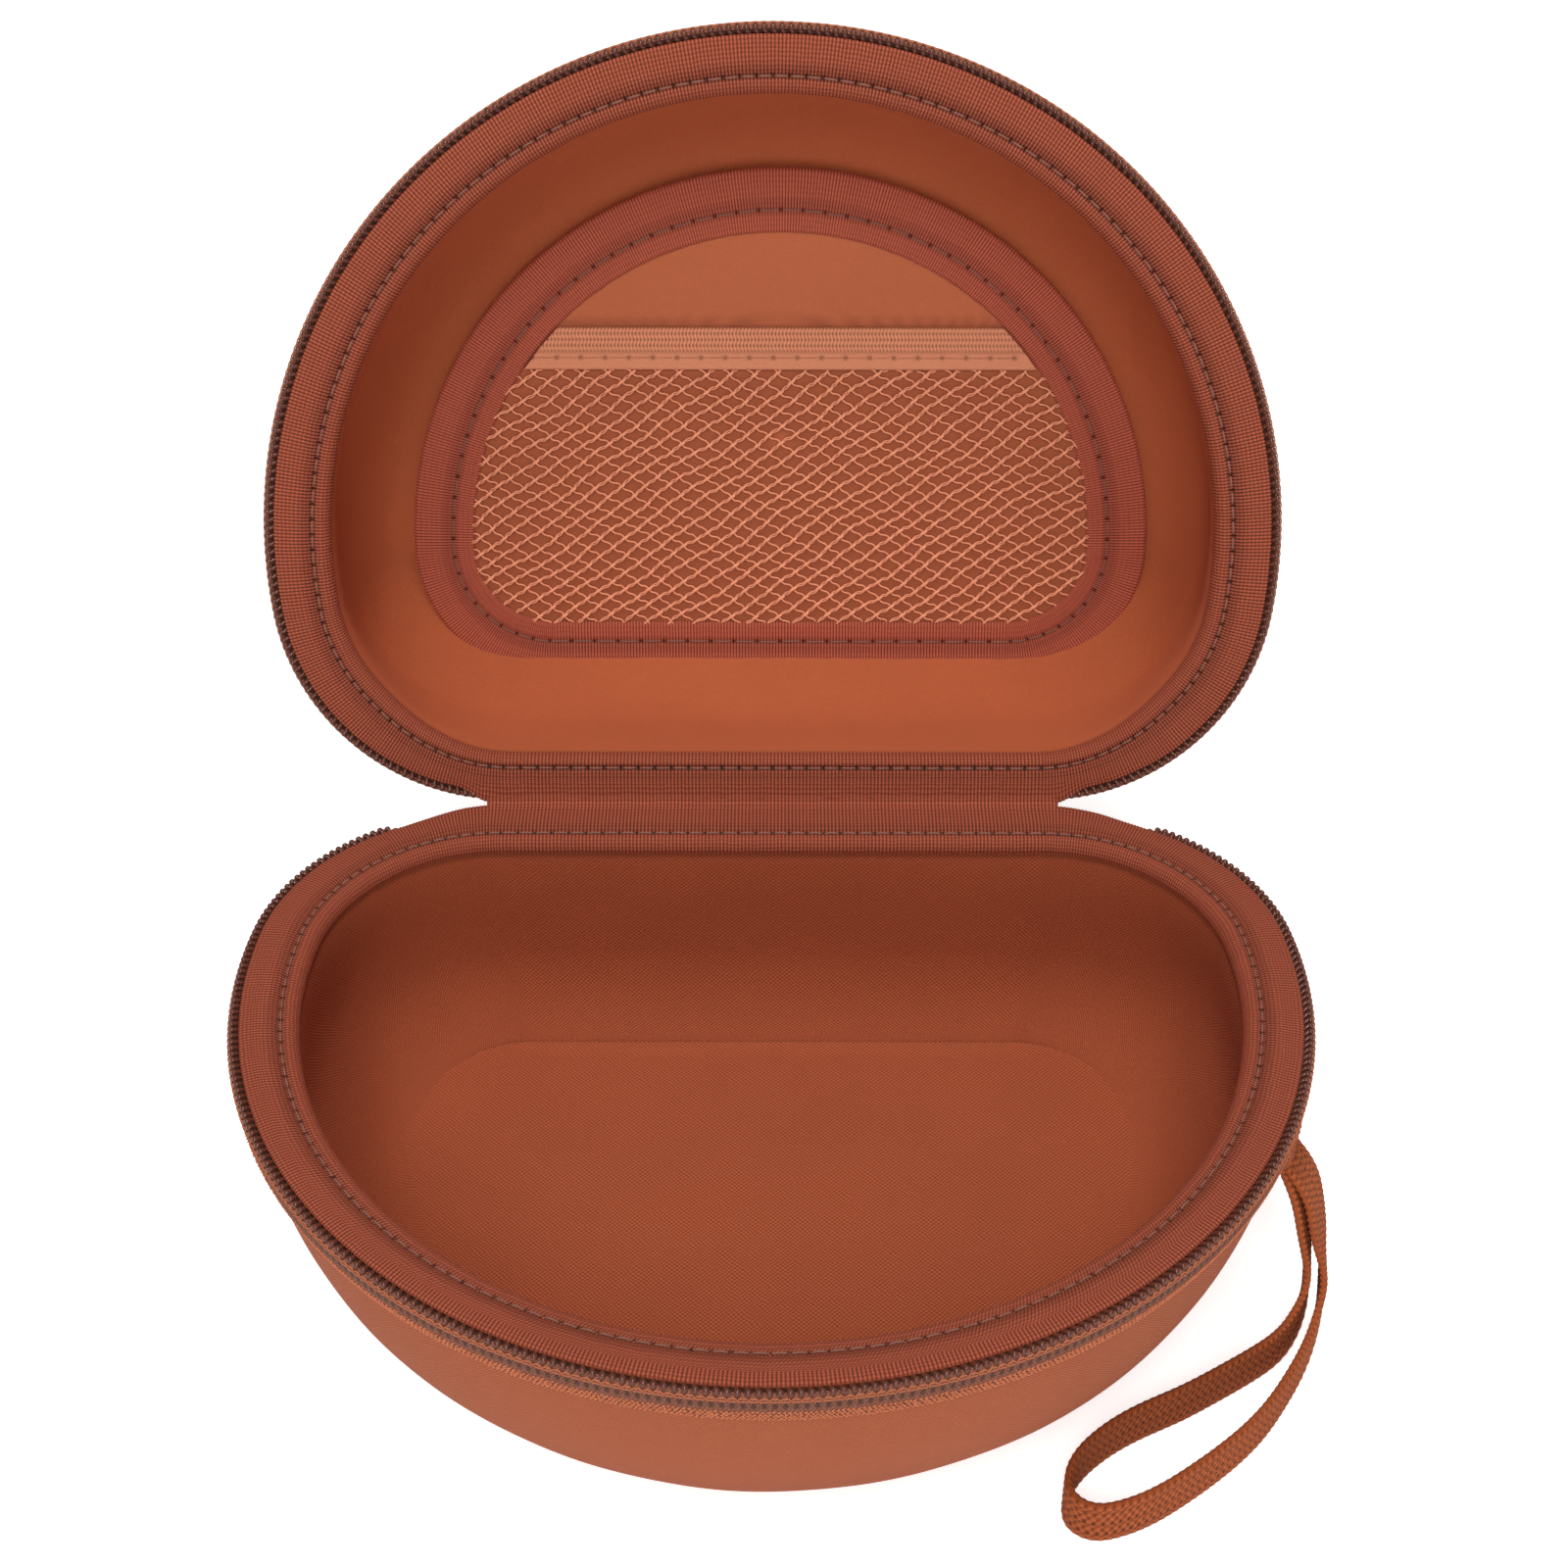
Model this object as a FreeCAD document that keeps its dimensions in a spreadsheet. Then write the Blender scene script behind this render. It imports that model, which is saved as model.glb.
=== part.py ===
import FreeCAD, Part
import Sketcher
import math
import os

# Zipped, moulded clam-shell case for folded headphones, modelled open.
# Sizes are in millimetres. Frame: origin at the centre of the flat foot under
# the base, +X to the right, +Y towards the hinge, +Z up.
# Each half is drawn in its own "rim frame": z = 0 is the parting plane, the
# hinge axis is the X axis, the bowl hangs down and reaches to y = -depth.
# The lid uses the same rim frame, turned half a turn and tilted open.

V = FreeCAD.Vector
Constraint = Sketcher.Constraint
doc = FreeCAD.newDocument("HeadphoneCase")
sheet = doc.addObject("Spreadsheet::Sheet", "Sizes")

SIZES = [
    ("width", 200.0, "overall width across the zip"),
    ("depth", 152.0, "hinge axis to the front of the zip"),
    ("corner_radius", 45.0, "outline corner radius beside the hinge"),
    ("base_depth", 56.0, "parting plane to the foot"),
    ("base_front", 36.0, "how far the front wall of the base curves in"),
    ("base_side", 26.0, "how far the side walls of the base curve in"),
    ("base_back", 6.5, "how far the back wall of the base curves in"),
    ("lid_depth", 51.0, "parting plane to the top of the lid"),
    ("lid_front", 32.0, "how far the front wall of the lid curves in"),
    ("lid_side", 21.0, "how far the side walls of the lid curve in"),
    ("lid_back", 12.0, "how far the back wall of the lid curves in"),
    ("corner_pull", 0.8, "share of the side curve taken off the corner radius"),
    ("open_angle", 106.5, "lid opening as modelled"),
    ("hinge_y", 64.0, "hinge axis behind the centre of the foot"),
    ("coil_thick", 2.0, "zip coil, across"),
    ("coil_tall", 3.0, "zip coil, along the wall"),
    ("coil_gap", 0.05, "zip coil to the parting plane"),
    ("tape_thick", 0.6, "zip tape"),
    ("tape_tall", 8.0, "zip tape below the coil top"),
    ("skin", 2.75, "outer cover inside the widest line"),
    ("cover_thick", 0.8, "outer fabric"),
    ("base_foam", 5.2, "moulded foam of the base"),
    ("lid_foam", 3.8, "moulded foam of the lid"),
    ("lining_thick", 0.7, "lining fabric"),
    ("layer_gap", 0.1, "clearance between laminated layers"),
    ("rim_drop", 1.25, "top of the foam below the parting plane"),
    ("bind_top", 0.5, "top of the binding below the parting plane"),
    ("bind_thick", 0.7, "binding ribbon"),
    ("bind_deep", 8.7, "bottom of the binding below the parting plane"),
    ("bind_lean", 3.6, "how far the inner face of the binding leans in"),
    ("bind_flat", 9.8, "inner edge of the flat top of the binding"),
    ("zip_gap", 46.0, "half length without zip at the hinge"),
    ("hinge_half", 43.5, "half length of the hinge strips"),
    ("hinge_tall", 16.0, "height of the outer hinge strip"),
    ("hinge_thick", 1.8, "outer hinge strip, folded double"),
    ("ribbon_thick", 0.35, "inner hinge ribbon"),
    ("ribbon_deep", 9.0, "inner hinge ribbon, front to back"),
    ("panel_radius", 77.2, "pocket panel main arc"),
    ("panel_far", 121.0, "pocket panel far edge from the hinge"),
    ("panel_near", 14.4, "pocket panel near edge from the hinge"),
    ("panel_corner", 28.5, "pocket panel corner radius"),
    ("panel_shift", 1.5, "pocket panel sideways offset"),
    ("panel_down", 43.6, "back of the pocket panel below the rim"),
    ("panel_thick", 1.2, "pocket panel"),
    ("panel_bind", 12.0, "ribbon width round the panel"),
    ("panel_bind_thick", 0.7, "ribbon thickness round the panel"),
    ("band_low", 80.8, "elastic band lower edge from the hinge"),
    ("band_high", 89.6, "elastic band upper edge from the hinge"),
    ("band_thick", 0.9, "elastic band"),
    ("net_thick", 0.4, "pocket net"),
    ("slider_x", 52.0, "slider centre from the middle plane"),
    ("slider_wide", 8.0, "slider length along the zip"),
    ("slider_tall", 7.4, "slider across the zip"),
    ("slider_thick", 2.4, "slider plate"),
    ("bridge_high", 2.4, "bridge over the slider plate"),
    ("pull_wide", 7.0, "pull tab width"),
    ("pull_long", 32.0, "pull tab length below its pivot"),
    ("pull_thick", 1.1, "pull tab thickness"),
    ("strap_wide", 9.0, "wrist strap webbing width"),
    ("strap_thick", 1.3, "wrist strap webbing thickness"),
    ("strap_turn", 19.8, "strap anchor forward of the widest line, degrees"),
    ("strap_drop", 14.0, "strap pivot below the parting plane"),
]


# ------------------------------------------------------------- driven values
class Value:
    """A number together with the sheet expression that gives it."""

    def __init__(self, number, text):
        self.number = number
        self.text = text

    def __add__(self, other):
        other = value(other)
        return Value(self.number + other.number, "(%s + %s)" % (self.text, other.text))

    def __sub__(self, other):
        other = value(other)
        return Value(self.number - other.number, "(%s - %s)" % (self.text, other.text))

    def __mul__(self, other):
        other = value(other)
        return Value(self.number * other.number, "(%s * %s)" % (self.text, other.text))

    def __truediv__(self, other):
        other = value(other)
        return Value(self.number / other.number, "(%s / %s)" % (self.text, other.text))

    def __radd__(self, other):
        return value(other) + self

    def __rsub__(self, other):
        return value(other) - self

    def __rmul__(self, other):
        return value(other) * self

    def __neg__(self):
        return Value(-self.number, "(-%s)" % self.text)


def value(source):
    """A Value as it is, or a plain number made into one."""
    if isinstance(source, Value):
        return source
    return Value(float(source), "(%r)" % source)


def leg(hypotenuse, other_leg):
    """The remaining leg of a right-angled triangle."""
    square = hypotenuse * hypotenuse - other_leg * other_leg
    return Value(math.sqrt(square.number), "sqrt(%s)" % square.text)


def drive(obj, prop, source):
    obj.setExpression(prop, value(source).text)


class Sizes:
    """Every driving dimension of the sheet as a Value, by its alias."""


size = Sizes()
for row, (alias, amount, note) in enumerate(SIZES, start=1):
    sheet.set("A%d" % row, note)
    sheet.set("B%d" % row, repr(amount))
    sheet.setAlias("B%d" % row, alias)
doc.recompute()
for alias, _, _ in SIZES:
    setattr(size, alias, Value(float(sheet.get(alias)), "<<Sizes>>." + alias))


def half_size(half, name):
    return getattr(size, half + "_" + name)


# ---------------------------------------------------------------- sketches
def new_body(label):
    return doc.addObject("PartDesign::Body", label)


def new_sketch(body, name, plane, offset):
    sketch = body.newObject("Sketcher::SketchObject", name)
    support = [o for o in body.Origin.OriginFeatures if o.Role == plane][0]
    sketch.AttachmentSupport = [(support, "")]
    sketch.MapMode = "FlatFace"
    drive(sketch, "AttachmentOffset.Base.z", offset)
    return sketch


def dimension(sketch, name, amount, kind, *places):
    """A named dimensional constraint that follows the sheet."""
    index = sketch.addConstraint(Constraint(kind, *places, amount.number))
    sketch.renameConstraint(index, name)
    drive(sketch, "Constraints." + name, amount)


def d_outline(sketch, radius, centre, back, corner, middle=None):
    """Closed D: flat back line, two corner arcs, one main arc. centre and
    back are the distances of the main arc's centre and of the back line in
    front of the hinge axis; middle is the sideways place of the centre."""
    back = value(back)
    main_r, corner_r = radius.number, corner.number
    y_main, y_back = -centre.number, -back.number
    y_corner = y_back - corner_r
    x_mid = middle.number if middle else 0.0
    rise = y_corner - y_main
    half_line = math.sqrt((main_r - corner_r) ** 2 - rise ** 2)
    angle = math.atan2(rise, half_line)

    def arc(x, y, arc_radius, start, end):
        whole = Part.Circle(V(x, y, 0), V(0, 0, 1), arc_radius)
        return sketch.addGeometry(Part.ArcOfCircle(whole, start, end), False)

    line = sketch.addGeometry(Part.LineSegment(V(x_mid - half_line, y_back, 0),
                                               V(x_mid + half_line, y_back, 0)), False)
    right = arc(x_mid + half_line, y_corner, corner_r, angle, math.pi / 2)
    main = arc(x_mid, y_main, main_r, math.pi - angle, 2 * math.pi + angle)
    left = arc(x_mid - half_line, y_corner, corner_r, math.pi / 2, math.pi - angle)

    sketch.addConstraint(Constraint("Tangent", line, 2, right, 2))
    sketch.addConstraint(Constraint("Tangent", right, 1, main, 2))
    sketch.addConstraint(Constraint("Tangent", main, 1, left, 2))
    sketch.addConstraint(Constraint("Tangent", left, 1, line, 1))
    sketch.addConstraint(Constraint("Horizontal", line))
    sketch.addConstraint(Constraint("Equal", right, left))
    tag = "_%d" % sketch.GeometryCount
    if middle:
        dimension(sketch, "middle" + tag, middle, "DistanceX", -1, 1, main, 3)
    else:
        sketch.addConstraint(Constraint("PointOnObject", main, 3, -2))
    dimension(sketch, "main_radius" + tag, radius, "Radius", main)
    dimension(sketch, "corner_radius" + tag, corner, "Radius", right)
    dimension(sketch, "main_centre" + tag, centre, "DistanceY", main, 3, -1, 1)
    dimension(sketch, "back_line" + tag, back, "DistanceY", line, 1, -1, 1)


def polygon(sketch, corners):
    """Closed polygon through (x, y) corners."""
    corners = [(value(x), value(y)) for x, y in corners]
    count = len(corners)
    first = sketch.GeometryCount
    for i in range(count):
        ends = [V(x.number, y.number, 0) for x, y in (corners[i], corners[(i + 1) % count])]
        sketch.addGeometry(Part.LineSegment(*ends), False)
    for i in range(count):
        sketch.addConstraint(Constraint("Coincident", first + i, 2, first + (i + 1) % count, 1))
    for i, (x, y) in enumerate(corners, start=first):
        dimension(sketch, "px_%d" % i, x, "DistanceX", -1, 1, i, 1)
        dimension(sketch, "py_%d" % i, y, "DistanceY", -1, 1, i, 1)


def rectangle(sketch, x_low, x_high, y_low, y_high):
    polygon(sketch, [(x_low, y_low), (x_high, y_low), (x_high, y_high), (x_low, y_high)])


def circle(sketch, x, y, radius):
    x, y, radius = value(x), value(y), value(radius)
    whole = Part.Circle(V(x.number, y.number, 0), V(0, 0, 1), radius.number)
    index = sketch.addGeometry(whole, False)
    dimension(sketch, "cr_%d" % index, radius, "Radius", index)
    dimension(sketch, "cx_%d" % index, x, "DistanceX", -1, 1, index, 3)
    dimension(sketch, "cy_%d" % index, y, "DistanceY", -1, 1, index, 3)


# ---------------------------------------------------------------- features
def pad(body, sketch, length, name):
    feature = body.newObject("PartDesign::Pad", name)
    feature.Profile = sketch
    drive(feature, "Length", length)
    body.Tip = feature


def pocket(body, sketch, name, length=None):
    """A cut of the given length, or through everything."""
    feature = body.newObject("PartDesign::Pocket", name)
    feature.Profile = sketch
    if length is None:
        feature.Type = "ThroughAll"
    else:
        drive(feature, "Length", length)
    body.Tip = feature


def loft(body, sketches, name, cut=False, ruled=False):
    kind = "SubtractiveLoft" if cut else "AdditiveLoft"
    feature = body.newObject("PartDesign::" + kind, name)
    feature.Profile = sketches[0]
    feature.Sections = sketches[1:]
    feature.Ruled = ruled
    body.Tip = feature


def round_edges(body, name, radius, wanted):
    """Fillet the edges of the body for which wanted(edge, its box) holds."""
    tip = body.Tip
    names = ["Edge%d" % i for i, edge in enumerate(tip.Shape.Edges, start=1)
             if wanted(edge, edge.BoundBox)]
    fillet = body.newObject("PartDesign::Fillet", name)
    fillet.Base = (tip, names)
    fillet.Radius = radius
    body.Tip = fillet


# ------------------------------------------------------- the two half shells
# A layer at distance inset inside the widest line follows quarter ellipses
# from the rim to the flat foot. share runs from 0 at the rim to 1 at the foot.
ABOVE_RIM = 2                  # height of the first loft section
BOWL_ANGLES = (6, 12, 19, 27, 36, 46, 57, 68, 79, 90)   # along the ellipse, degrees
WALL_ANGLES = BOWL_ANGLES[:3]  # enough for a band near the rim
TRIM_START = 3                 # trimming cuts start this far above the rim
GAP_FRONT, GAP_BACK = -8, 4    # y range of the cut that clears the hinge
NEAR_GAP = 0.05                # clearance between sewn pieces
THREAD_TALL = 0.35             # thread of the seams on the two halves
BIND_SEAM_SHARE = 0.62         # seam place down the leaning face of the binding
BIND_SEAM_INSET = (0.32, 0.68)  # outer and inner side of that thread
TAPE_SEAM_OVERLAP = (0.4, 0.02)  # the same for the tape, outside the coil's inner face
TAPE_SEAM_LEVEL = -7.4
TAPE_TOP = 0.6                 # top of the tape below the parting plane
HINGE_TOP = -0.6               # hinge strips stop short of the axis by this


def bowl_outline(sketch, half, inset, share):
    def curved_in(wall):
        return inset + (half_size(half, wall) - inset + size.skin) * share
    side = curved_in("side")
    pulled = size.corner_pull * (half_size(half, "side") - inset + size.skin) * share
    d_outline(sketch,
              radius=size.width / 2 - side,
              centre=size.depth - size.width / 2 - curved_in("front") + side,
              back=curved_in("back"),
              corner=size.corner_radius - inset - pulled)


def rim_outline(sketch, inset):
    """The outline at the rim, moved in by inset."""
    d_outline(sketch,
              radius=size.width / 2 - inset,
              centre=size.depth - size.width / 2,
              back=inset,
              corner=size.corner_radius - inset)


def surface_sections(body, half, inset, tag, angles):
    """Sketches of one surface of the bowl, rim first. The first one stands
    above the rim, so that the loft is straight where it passes the rim."""
    sections = []
    for name, level in (("above", ABOVE_RIM), ("rim", 0)):
        sketch = new_sketch(body, "%s_%s" % (tag, name), "XY_Plane", level)
        rim_outline(sketch, inset)
        sections.append(sketch)
    for degrees in angles:
        angle = math.radians(degrees)
        level = -(half_size(half, "depth") - inset + size.skin) * round(math.sin(angle), 8)
        sketch = new_sketch(body, "%s_%d" % (tag, degrees), "XY_Plane", level)
        bowl_outline(sketch, half, inset, round(1 - math.cos(angle), 8))
        sections.append(sketch)
    return sections


def layer(body, half, outer, inner, angles):
    """The solid between two surfaces of the bowl."""
    label = body.Label
    loft(body, surface_sections(body, half, outer, label + "_out", angles), label + "_solid")
    loft(body, surface_sections(body, half, inner, label + "_in", angles), label + "_hollow",
         cut=True)


def trim(body, name, level, length):
    """Cut away everything from level down to length below it."""
    sketch = new_sketch(body, name + "_cut", "XY_Plane", level)
    rectangle(sketch, -size.width, size.width, -size.width, size.width / 2)
    pocket(body, sketch, name + "_trim", length)


def clear_hinge(body, level):
    sketch = new_sketch(body, body.Label + "_gap", "XY_Plane", level)
    rectangle(sketch, -size.zip_gap, size.zip_gap, GAP_FRONT, GAP_BACK)
    pocket(body, sketch, body.Label + "_hinge_gap")


def bowl(label, half, outer, thick):
    """One laminated layer of a half, open at the rim."""
    body = new_body(label)
    layer(body, half, outer, outer + thick, BOWL_ANGLES)
    trim(body, label + "_rim", TRIM_START, TRIM_START + size.rim_drop)
    return body


def zipper_tape(half):
    """A thin band on the wall, left out along the hinge."""
    body = new_body(half + "_zipper_tape")
    layer(body, half, size.coil_thick + NEAR_GAP, size.coil_thick + size.tape_thick, WALL_ANGLES)
    trim(body, body.Label + "_top", TRIM_START, TRIM_START + TAPE_TOP)
    trim(body, body.Label + "_low", -(size.tape_tall + TAPE_TOP), 20)
    clear_hinge(body, 1)
    return body


def flat_ring(label, outer, inner, low, tall, gap=True):
    """A straight-sided band between two rim outlines."""
    body = new_body(label)
    sketch = new_sketch(body, label + "_plan", "XY_Plane", low)
    rim_outline(sketch, outer)
    rim_outline(sketch, inner)
    pad(body, sketch, tall, label + "_band")
    if gap:
        clear_hinge(body, low + tall + 1)
    return body


def zipper_coil(half):
    return flat_ring(half + "_zipper_coil", 0, size.coil_thick,
                     -(size.coil_gap + size.coil_tall), size.coil_tall)


def rim_binding(half):
    """Ribbon over the rim: flat top and a leaning inner face that holds the
    seam allowance behind it."""
    label = half + "_binding"
    body = new_body(label)
    sketch = new_sketch(body, label + "_top", "XY_Plane", -(size.bind_top + size.bind_thick))
    rim_outline(sketch, size.skin + NEAR_GAP)
    pad(body, sketch, size.bind_thick, label + "_flange")

    # the skirt fills the bowl inside the lining
    inset = (size.skin + size.cover_thick + half_size(half, "foam") + size.lining_thick
             + 3 * size.layer_gap)
    full_depth = half_size(half, "depth") - inset + size.skin
    skirt = []
    for i, down in enumerate((size.bind_top + size.bind_thick * 0.5,
                              size.bind_deep * 0.5,
                              size.bind_deep)):
        sketch = new_sketch(body, "%s_skirt_%d" % (label, i), "XY_Plane", -down)
        bowl_outline(sketch, half, inset, 1 - leg(value(1), down / full_depth))
        skirt.append(sketch)
    loft(body, skirt, label + "_skirt")

    # the mouth cuts it back to the leaning inner face
    mouth = []
    for i, level in enumerate((value(0.5), -size.bind_deep - 1)):
        sketch = new_sketch(body, "%s_mouth_%d" % (label, i), "XY_Plane", level)
        lean = size.bind_lean * (-level - size.bind_top) / (size.bind_deep - size.bind_top)
        rim_outline(sketch, size.bind_flat + lean)
        mouth.append(sketch)
    loft(body, mouth, label + "_mouth", cut=True, ruled=True)
    return body


def binding_stitching(half):
    face = size.bind_flat + size.bind_lean * BIND_SEAM_SHARE
    outer, inner = BIND_SEAM_INSET
    level = -(size.bind_top + (size.bind_deep - size.bind_top) * BIND_SEAM_SHARE)
    return flat_ring(half + "_binding_stitching", face + outer, face + inner, level,
                     THREAD_TALL, gap=False)


def tape_stitching(half):
    outer, inner = TAPE_SEAM_OVERLAP
    return flat_ring(half + "_tape_stitching", size.coil_thick - outer,
                     size.coil_thick - inner, TAPE_SEAM_LEVEL, THREAD_TALL)


def hinge_leaf(half):
    """Half of the woven strip sewn over the back seam."""
    label = "hinge_tape_" + half
    overlap = 0.15      # inner face of the strip short of the cover
    body = new_body(label)
    sketch = new_sketch(body, label + "_face", "XZ_Plane", size.skin - overlap - size.hinge_thick)
    rectangle(sketch, -size.hinge_half, size.hinge_half, -size.hinge_tall, HINGE_TOP)
    pad(body, sketch, size.hinge_thick, label + "_strip")
    return body


def ribbon_leaf(half):
    """Half of the ribbon that bridges the two rims on the inside."""
    label = "hinge_ribbon_" + half
    body = new_body(label)
    sketch = new_sketch(body, label + "_plan", "XY_Plane", -(size.bind_top - NEAR_GAP))
    rectangle(sketch, -size.hinge_half, size.hinge_half, -size.ribbon_deep, HINGE_TOP)
    pad(body, sketch, size.ribbon_thick, label + "_strip")
    return body


def half_parts(half):
    foam = half_size(half, "foam")
    shell_out = size.skin + size.cover_thick + size.layer_gap
    return [
        bowl(half + "_cover", half, size.skin, size.cover_thick),
        bowl(half + "_shell", half, shell_out, foam),
        bowl(half + "_lining", half, shell_out + foam + size.layer_gap, size.lining_thick),
        zipper_tape(half),
        zipper_coil(half),
        rim_binding(half),
        binding_stitching(half),
        tape_stitching(half),
        hinge_leaf(half),
        ribbon_leaf(half),
    ]


base_parts = half_parts("base")
lid_parts = half_parts("lid")
doc.recompute()

COIL_ROUND = 0.7
LEAF_CORNER = 4.0

# soften the long edges of the two coils
for half in ("base", "lid"):
    round_edges(doc.getObject(half + "_zipper_coil"), half + "_coil_round", COIL_ROUND,
                lambda edge, box: box.ZLength < 0.01 and edge.Length > 20)
# rounded lower corners on the outer hinge strips
leaf_low = -size.hinge_tall.number + 0.01
for half in ("base", "lid"):
    round_edges(doc.getObject("hinge_tape_" + half), half + "_leaf_corner", LEAF_CORNER,
                lambda edge, box: box.ZMax < leaf_low and box.YLength > 1 and box.XLength < 0.01)
doc.recompute()

# ------------------------------------------------------------- the pocket
# Drawn in the rim frame of the lid, parallel to the parting plane.
POCKET_THREAD_TALL = 0.3
RING_SEAM_SHARE = 0.66      # seam place across the ribbon
RING_SEAM_WIDE = 0.35
BAND_TAPER = 1.2            # lower corners of the band, in from the arc
BAND_SEAM_HALF = 44
BAND_SEAM_Y = (-84.4, -84.0)
pocket_front = size.panel_down - size.panel_thick - 0.5    # net and band, below the rim


def panel_outline(sketch, inset):
    """The pocket panel outline moved in by inset."""
    d_outline(sketch,
              radius=size.panel_radius - inset,
              centre=size.panel_far - size.panel_radius,
              back=size.panel_near + inset,
              corner=size.panel_corner - inset,
              middle=-size.panel_shift)


def pocket_panel():
    body = new_body("pocket_backing_panel")
    sketch = new_sketch(body, "panel_plan", "XY_Plane", -size.panel_down)
    panel_outline(sketch, NEAR_GAP)
    pad(body, sketch, size.panel_thick, "panel_sheet")
    return body


def pocket_binding():
    """Ribbon ring that wraps the edge of the panel and covers its face."""
    body = new_body("pocket_binding")
    sketch = new_sketch(body, "pbind_outer", "XY_Plane", -size.panel_down)
    panel_outline(sketch, -size.panel_bind_thick)
    pad(body, sketch, size.panel_thick + NEAR_GAP + size.panel_bind_thick, "pbind_solid")
    sketch = new_sketch(body, "pbind_window", "XY_Plane", 1)
    panel_outline(sketch, size.panel_bind)
    pocket(body, sketch, "pbind_opening")
    seat = size.panel_down - size.panel_thick - NEAR_GAP
    sketch = new_sketch(body, "pbind_seat", "XY_Plane", -seat)
    panel_outline(sketch, 0)
    pocket(body, sketch, "pbind_recess", 10)
    return body


def pocket_stitching():
    body = new_body("pocket_stitching")
    down = (size.panel_down - size.panel_thick - NEAR_GAP - size.panel_bind_thick
            - NEAR_GAP)
    sketch = new_sketch(body, "pst_plan", "XY_Plane", -down)
    panel_outline(sketch, size.panel_bind * RING_SEAM_SHARE)
    panel_outline(sketch, size.panel_bind * RING_SEAM_SHARE + RING_SEAM_WIDE)
    pad(body, sketch, POCKET_THREAD_TALL, "pst_thread")
    return body


def pocket_net():
    """Net inside the ribbon ring, ending under the elastic band."""
    body = new_body("pocket_mesh")
    sketch = new_sketch(body, "net_plan", "XY_Plane", -pocket_front)
    panel_outline(sketch, size.panel_bind + 0.4)
    pad(body, sketch, size.net_thick, "net_sheet")
    sketch = new_sketch(body, "net_top", "XY_Plane", 1)
    rectangle(sketch, -100, 100, -150, -(size.band_low - 0.3))
    pocket(body, sketch, "net_mouth")
    return body


def pocket_band():
    """Elastic band across the ring, its ends just inside the ribbon."""
    def half_chord(from_hinge):
        return leg(size.panel_radius - size.panel_bind - 0.5,
                   from_hinge - size.panel_far + size.panel_radius)
    body = new_body("pocket_elastic_band")
    sketch = new_sketch(body, "band_plan", "XY_Plane", -pocket_front)
    middle = -size.panel_shift
    low = half_chord(size.band_low) - BAND_TAPER
    high = half_chord(size.band_high)
    polygon(sketch, [(middle - low, -size.band_low), (middle + low, -size.band_low),
                     (middle + high, -size.band_high), (middle - high, -size.band_high)])
    pad(body, sketch, size.band_thick, "band_strip")
    return body


def band_stitching():
    body = new_body("pocket_band_stitching")
    sketch = new_sketch(body, "bst_plan", "XY_Plane",
                        -(pocket_front - size.band_thick - NEAR_GAP))
    middle = -size.panel_shift
    rectangle(sketch, middle - BAND_SEAM_HALF, middle + BAND_SEAM_HALF, *BAND_SEAM_Y)
    pad(body, sketch, POCKET_THREAD_TALL, "bst_thread")
    return body


lid_parts += [pocket_panel(), pocket_binding(), pocket_stitching(), pocket_net(),
              pocket_band(), band_stitching()]
doc.recompute()

# ------------------------------------------------------------- zip hardware
# Drawn in the rim frame of the base; y > 0 is behind the zip.
SLIDER_TOP = -2.2
SLIDER_GAP = 0.15           # slider plate to the coil
BRIDGE_WIDE = 3
BORE_RADIUS = 0.9
PIVOT_Z = -6
BAR_HALF = 0.45             # half height of the top bar of the pull
PULL_SHOULDER, PULL_WAIST = -11, -14    # the tab narrows between these levels
PULL_WINDOW_HALF, PULL_WINDOW_LOW = 2.1, -11.4
PULL_HOLE_UP, PULL_HOLE_RADIUS = 4.2, 1.5
PULL_ROUND = 2.6
pivot_y = size.slider_thick + SLIDER_GAP + size.bridge_high / 2


def slider(label, sign):
    """Zip slider parked at the end of the row, plate against the coil, with a
    drilled bridge that carries the pull."""
    body = new_body(label)
    middle = sign * size.slider_x
    left, right = middle - size.slider_wide / 2, middle + size.slider_wide / 2
    shoulder, low = SLIDER_TOP - 1.6, SLIDER_TOP - size.slider_tall
    sketch = new_sketch(body, label + "_face", "XZ_Plane", -(size.slider_thick + SLIDER_GAP))
    polygon(sketch, [(left, shoulder), (left + 1.4, SLIDER_TOP), (right - 1.4, SLIDER_TOP),
                     (right, shoulder), (right - 0.6, low), (left + 0.6, low)])
    pad(body, sketch, size.slider_thick, label + "_plate")

    sketch = new_sketch(body, label + "_bridge_side", "YZ_Plane", middle - BRIDGE_WIDE / 2)
    root = size.slider_thick - 0.4      # sunk into the plate
    crest = size.slider_thick + SLIDER_GAP + size.bridge_high
    polygon(sketch, [(root, -8.9), (root, -3.1), (crest - 0.9, -3.3),
                     (crest, -4.4), (crest, -7.6), (crest - 0.9, -8.7)])
    pad(body, sketch, BRIDGE_WIDE, label + "_bridge")

    sketch = new_sketch(body, label + "_bore", "YZ_Plane", middle + 2.5)
    circle(sketch, pivot_y, PIVOT_Z, BORE_RADIUS)
    pocket(body, sketch, label + "_pull_bore", 5)
    return body


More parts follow.
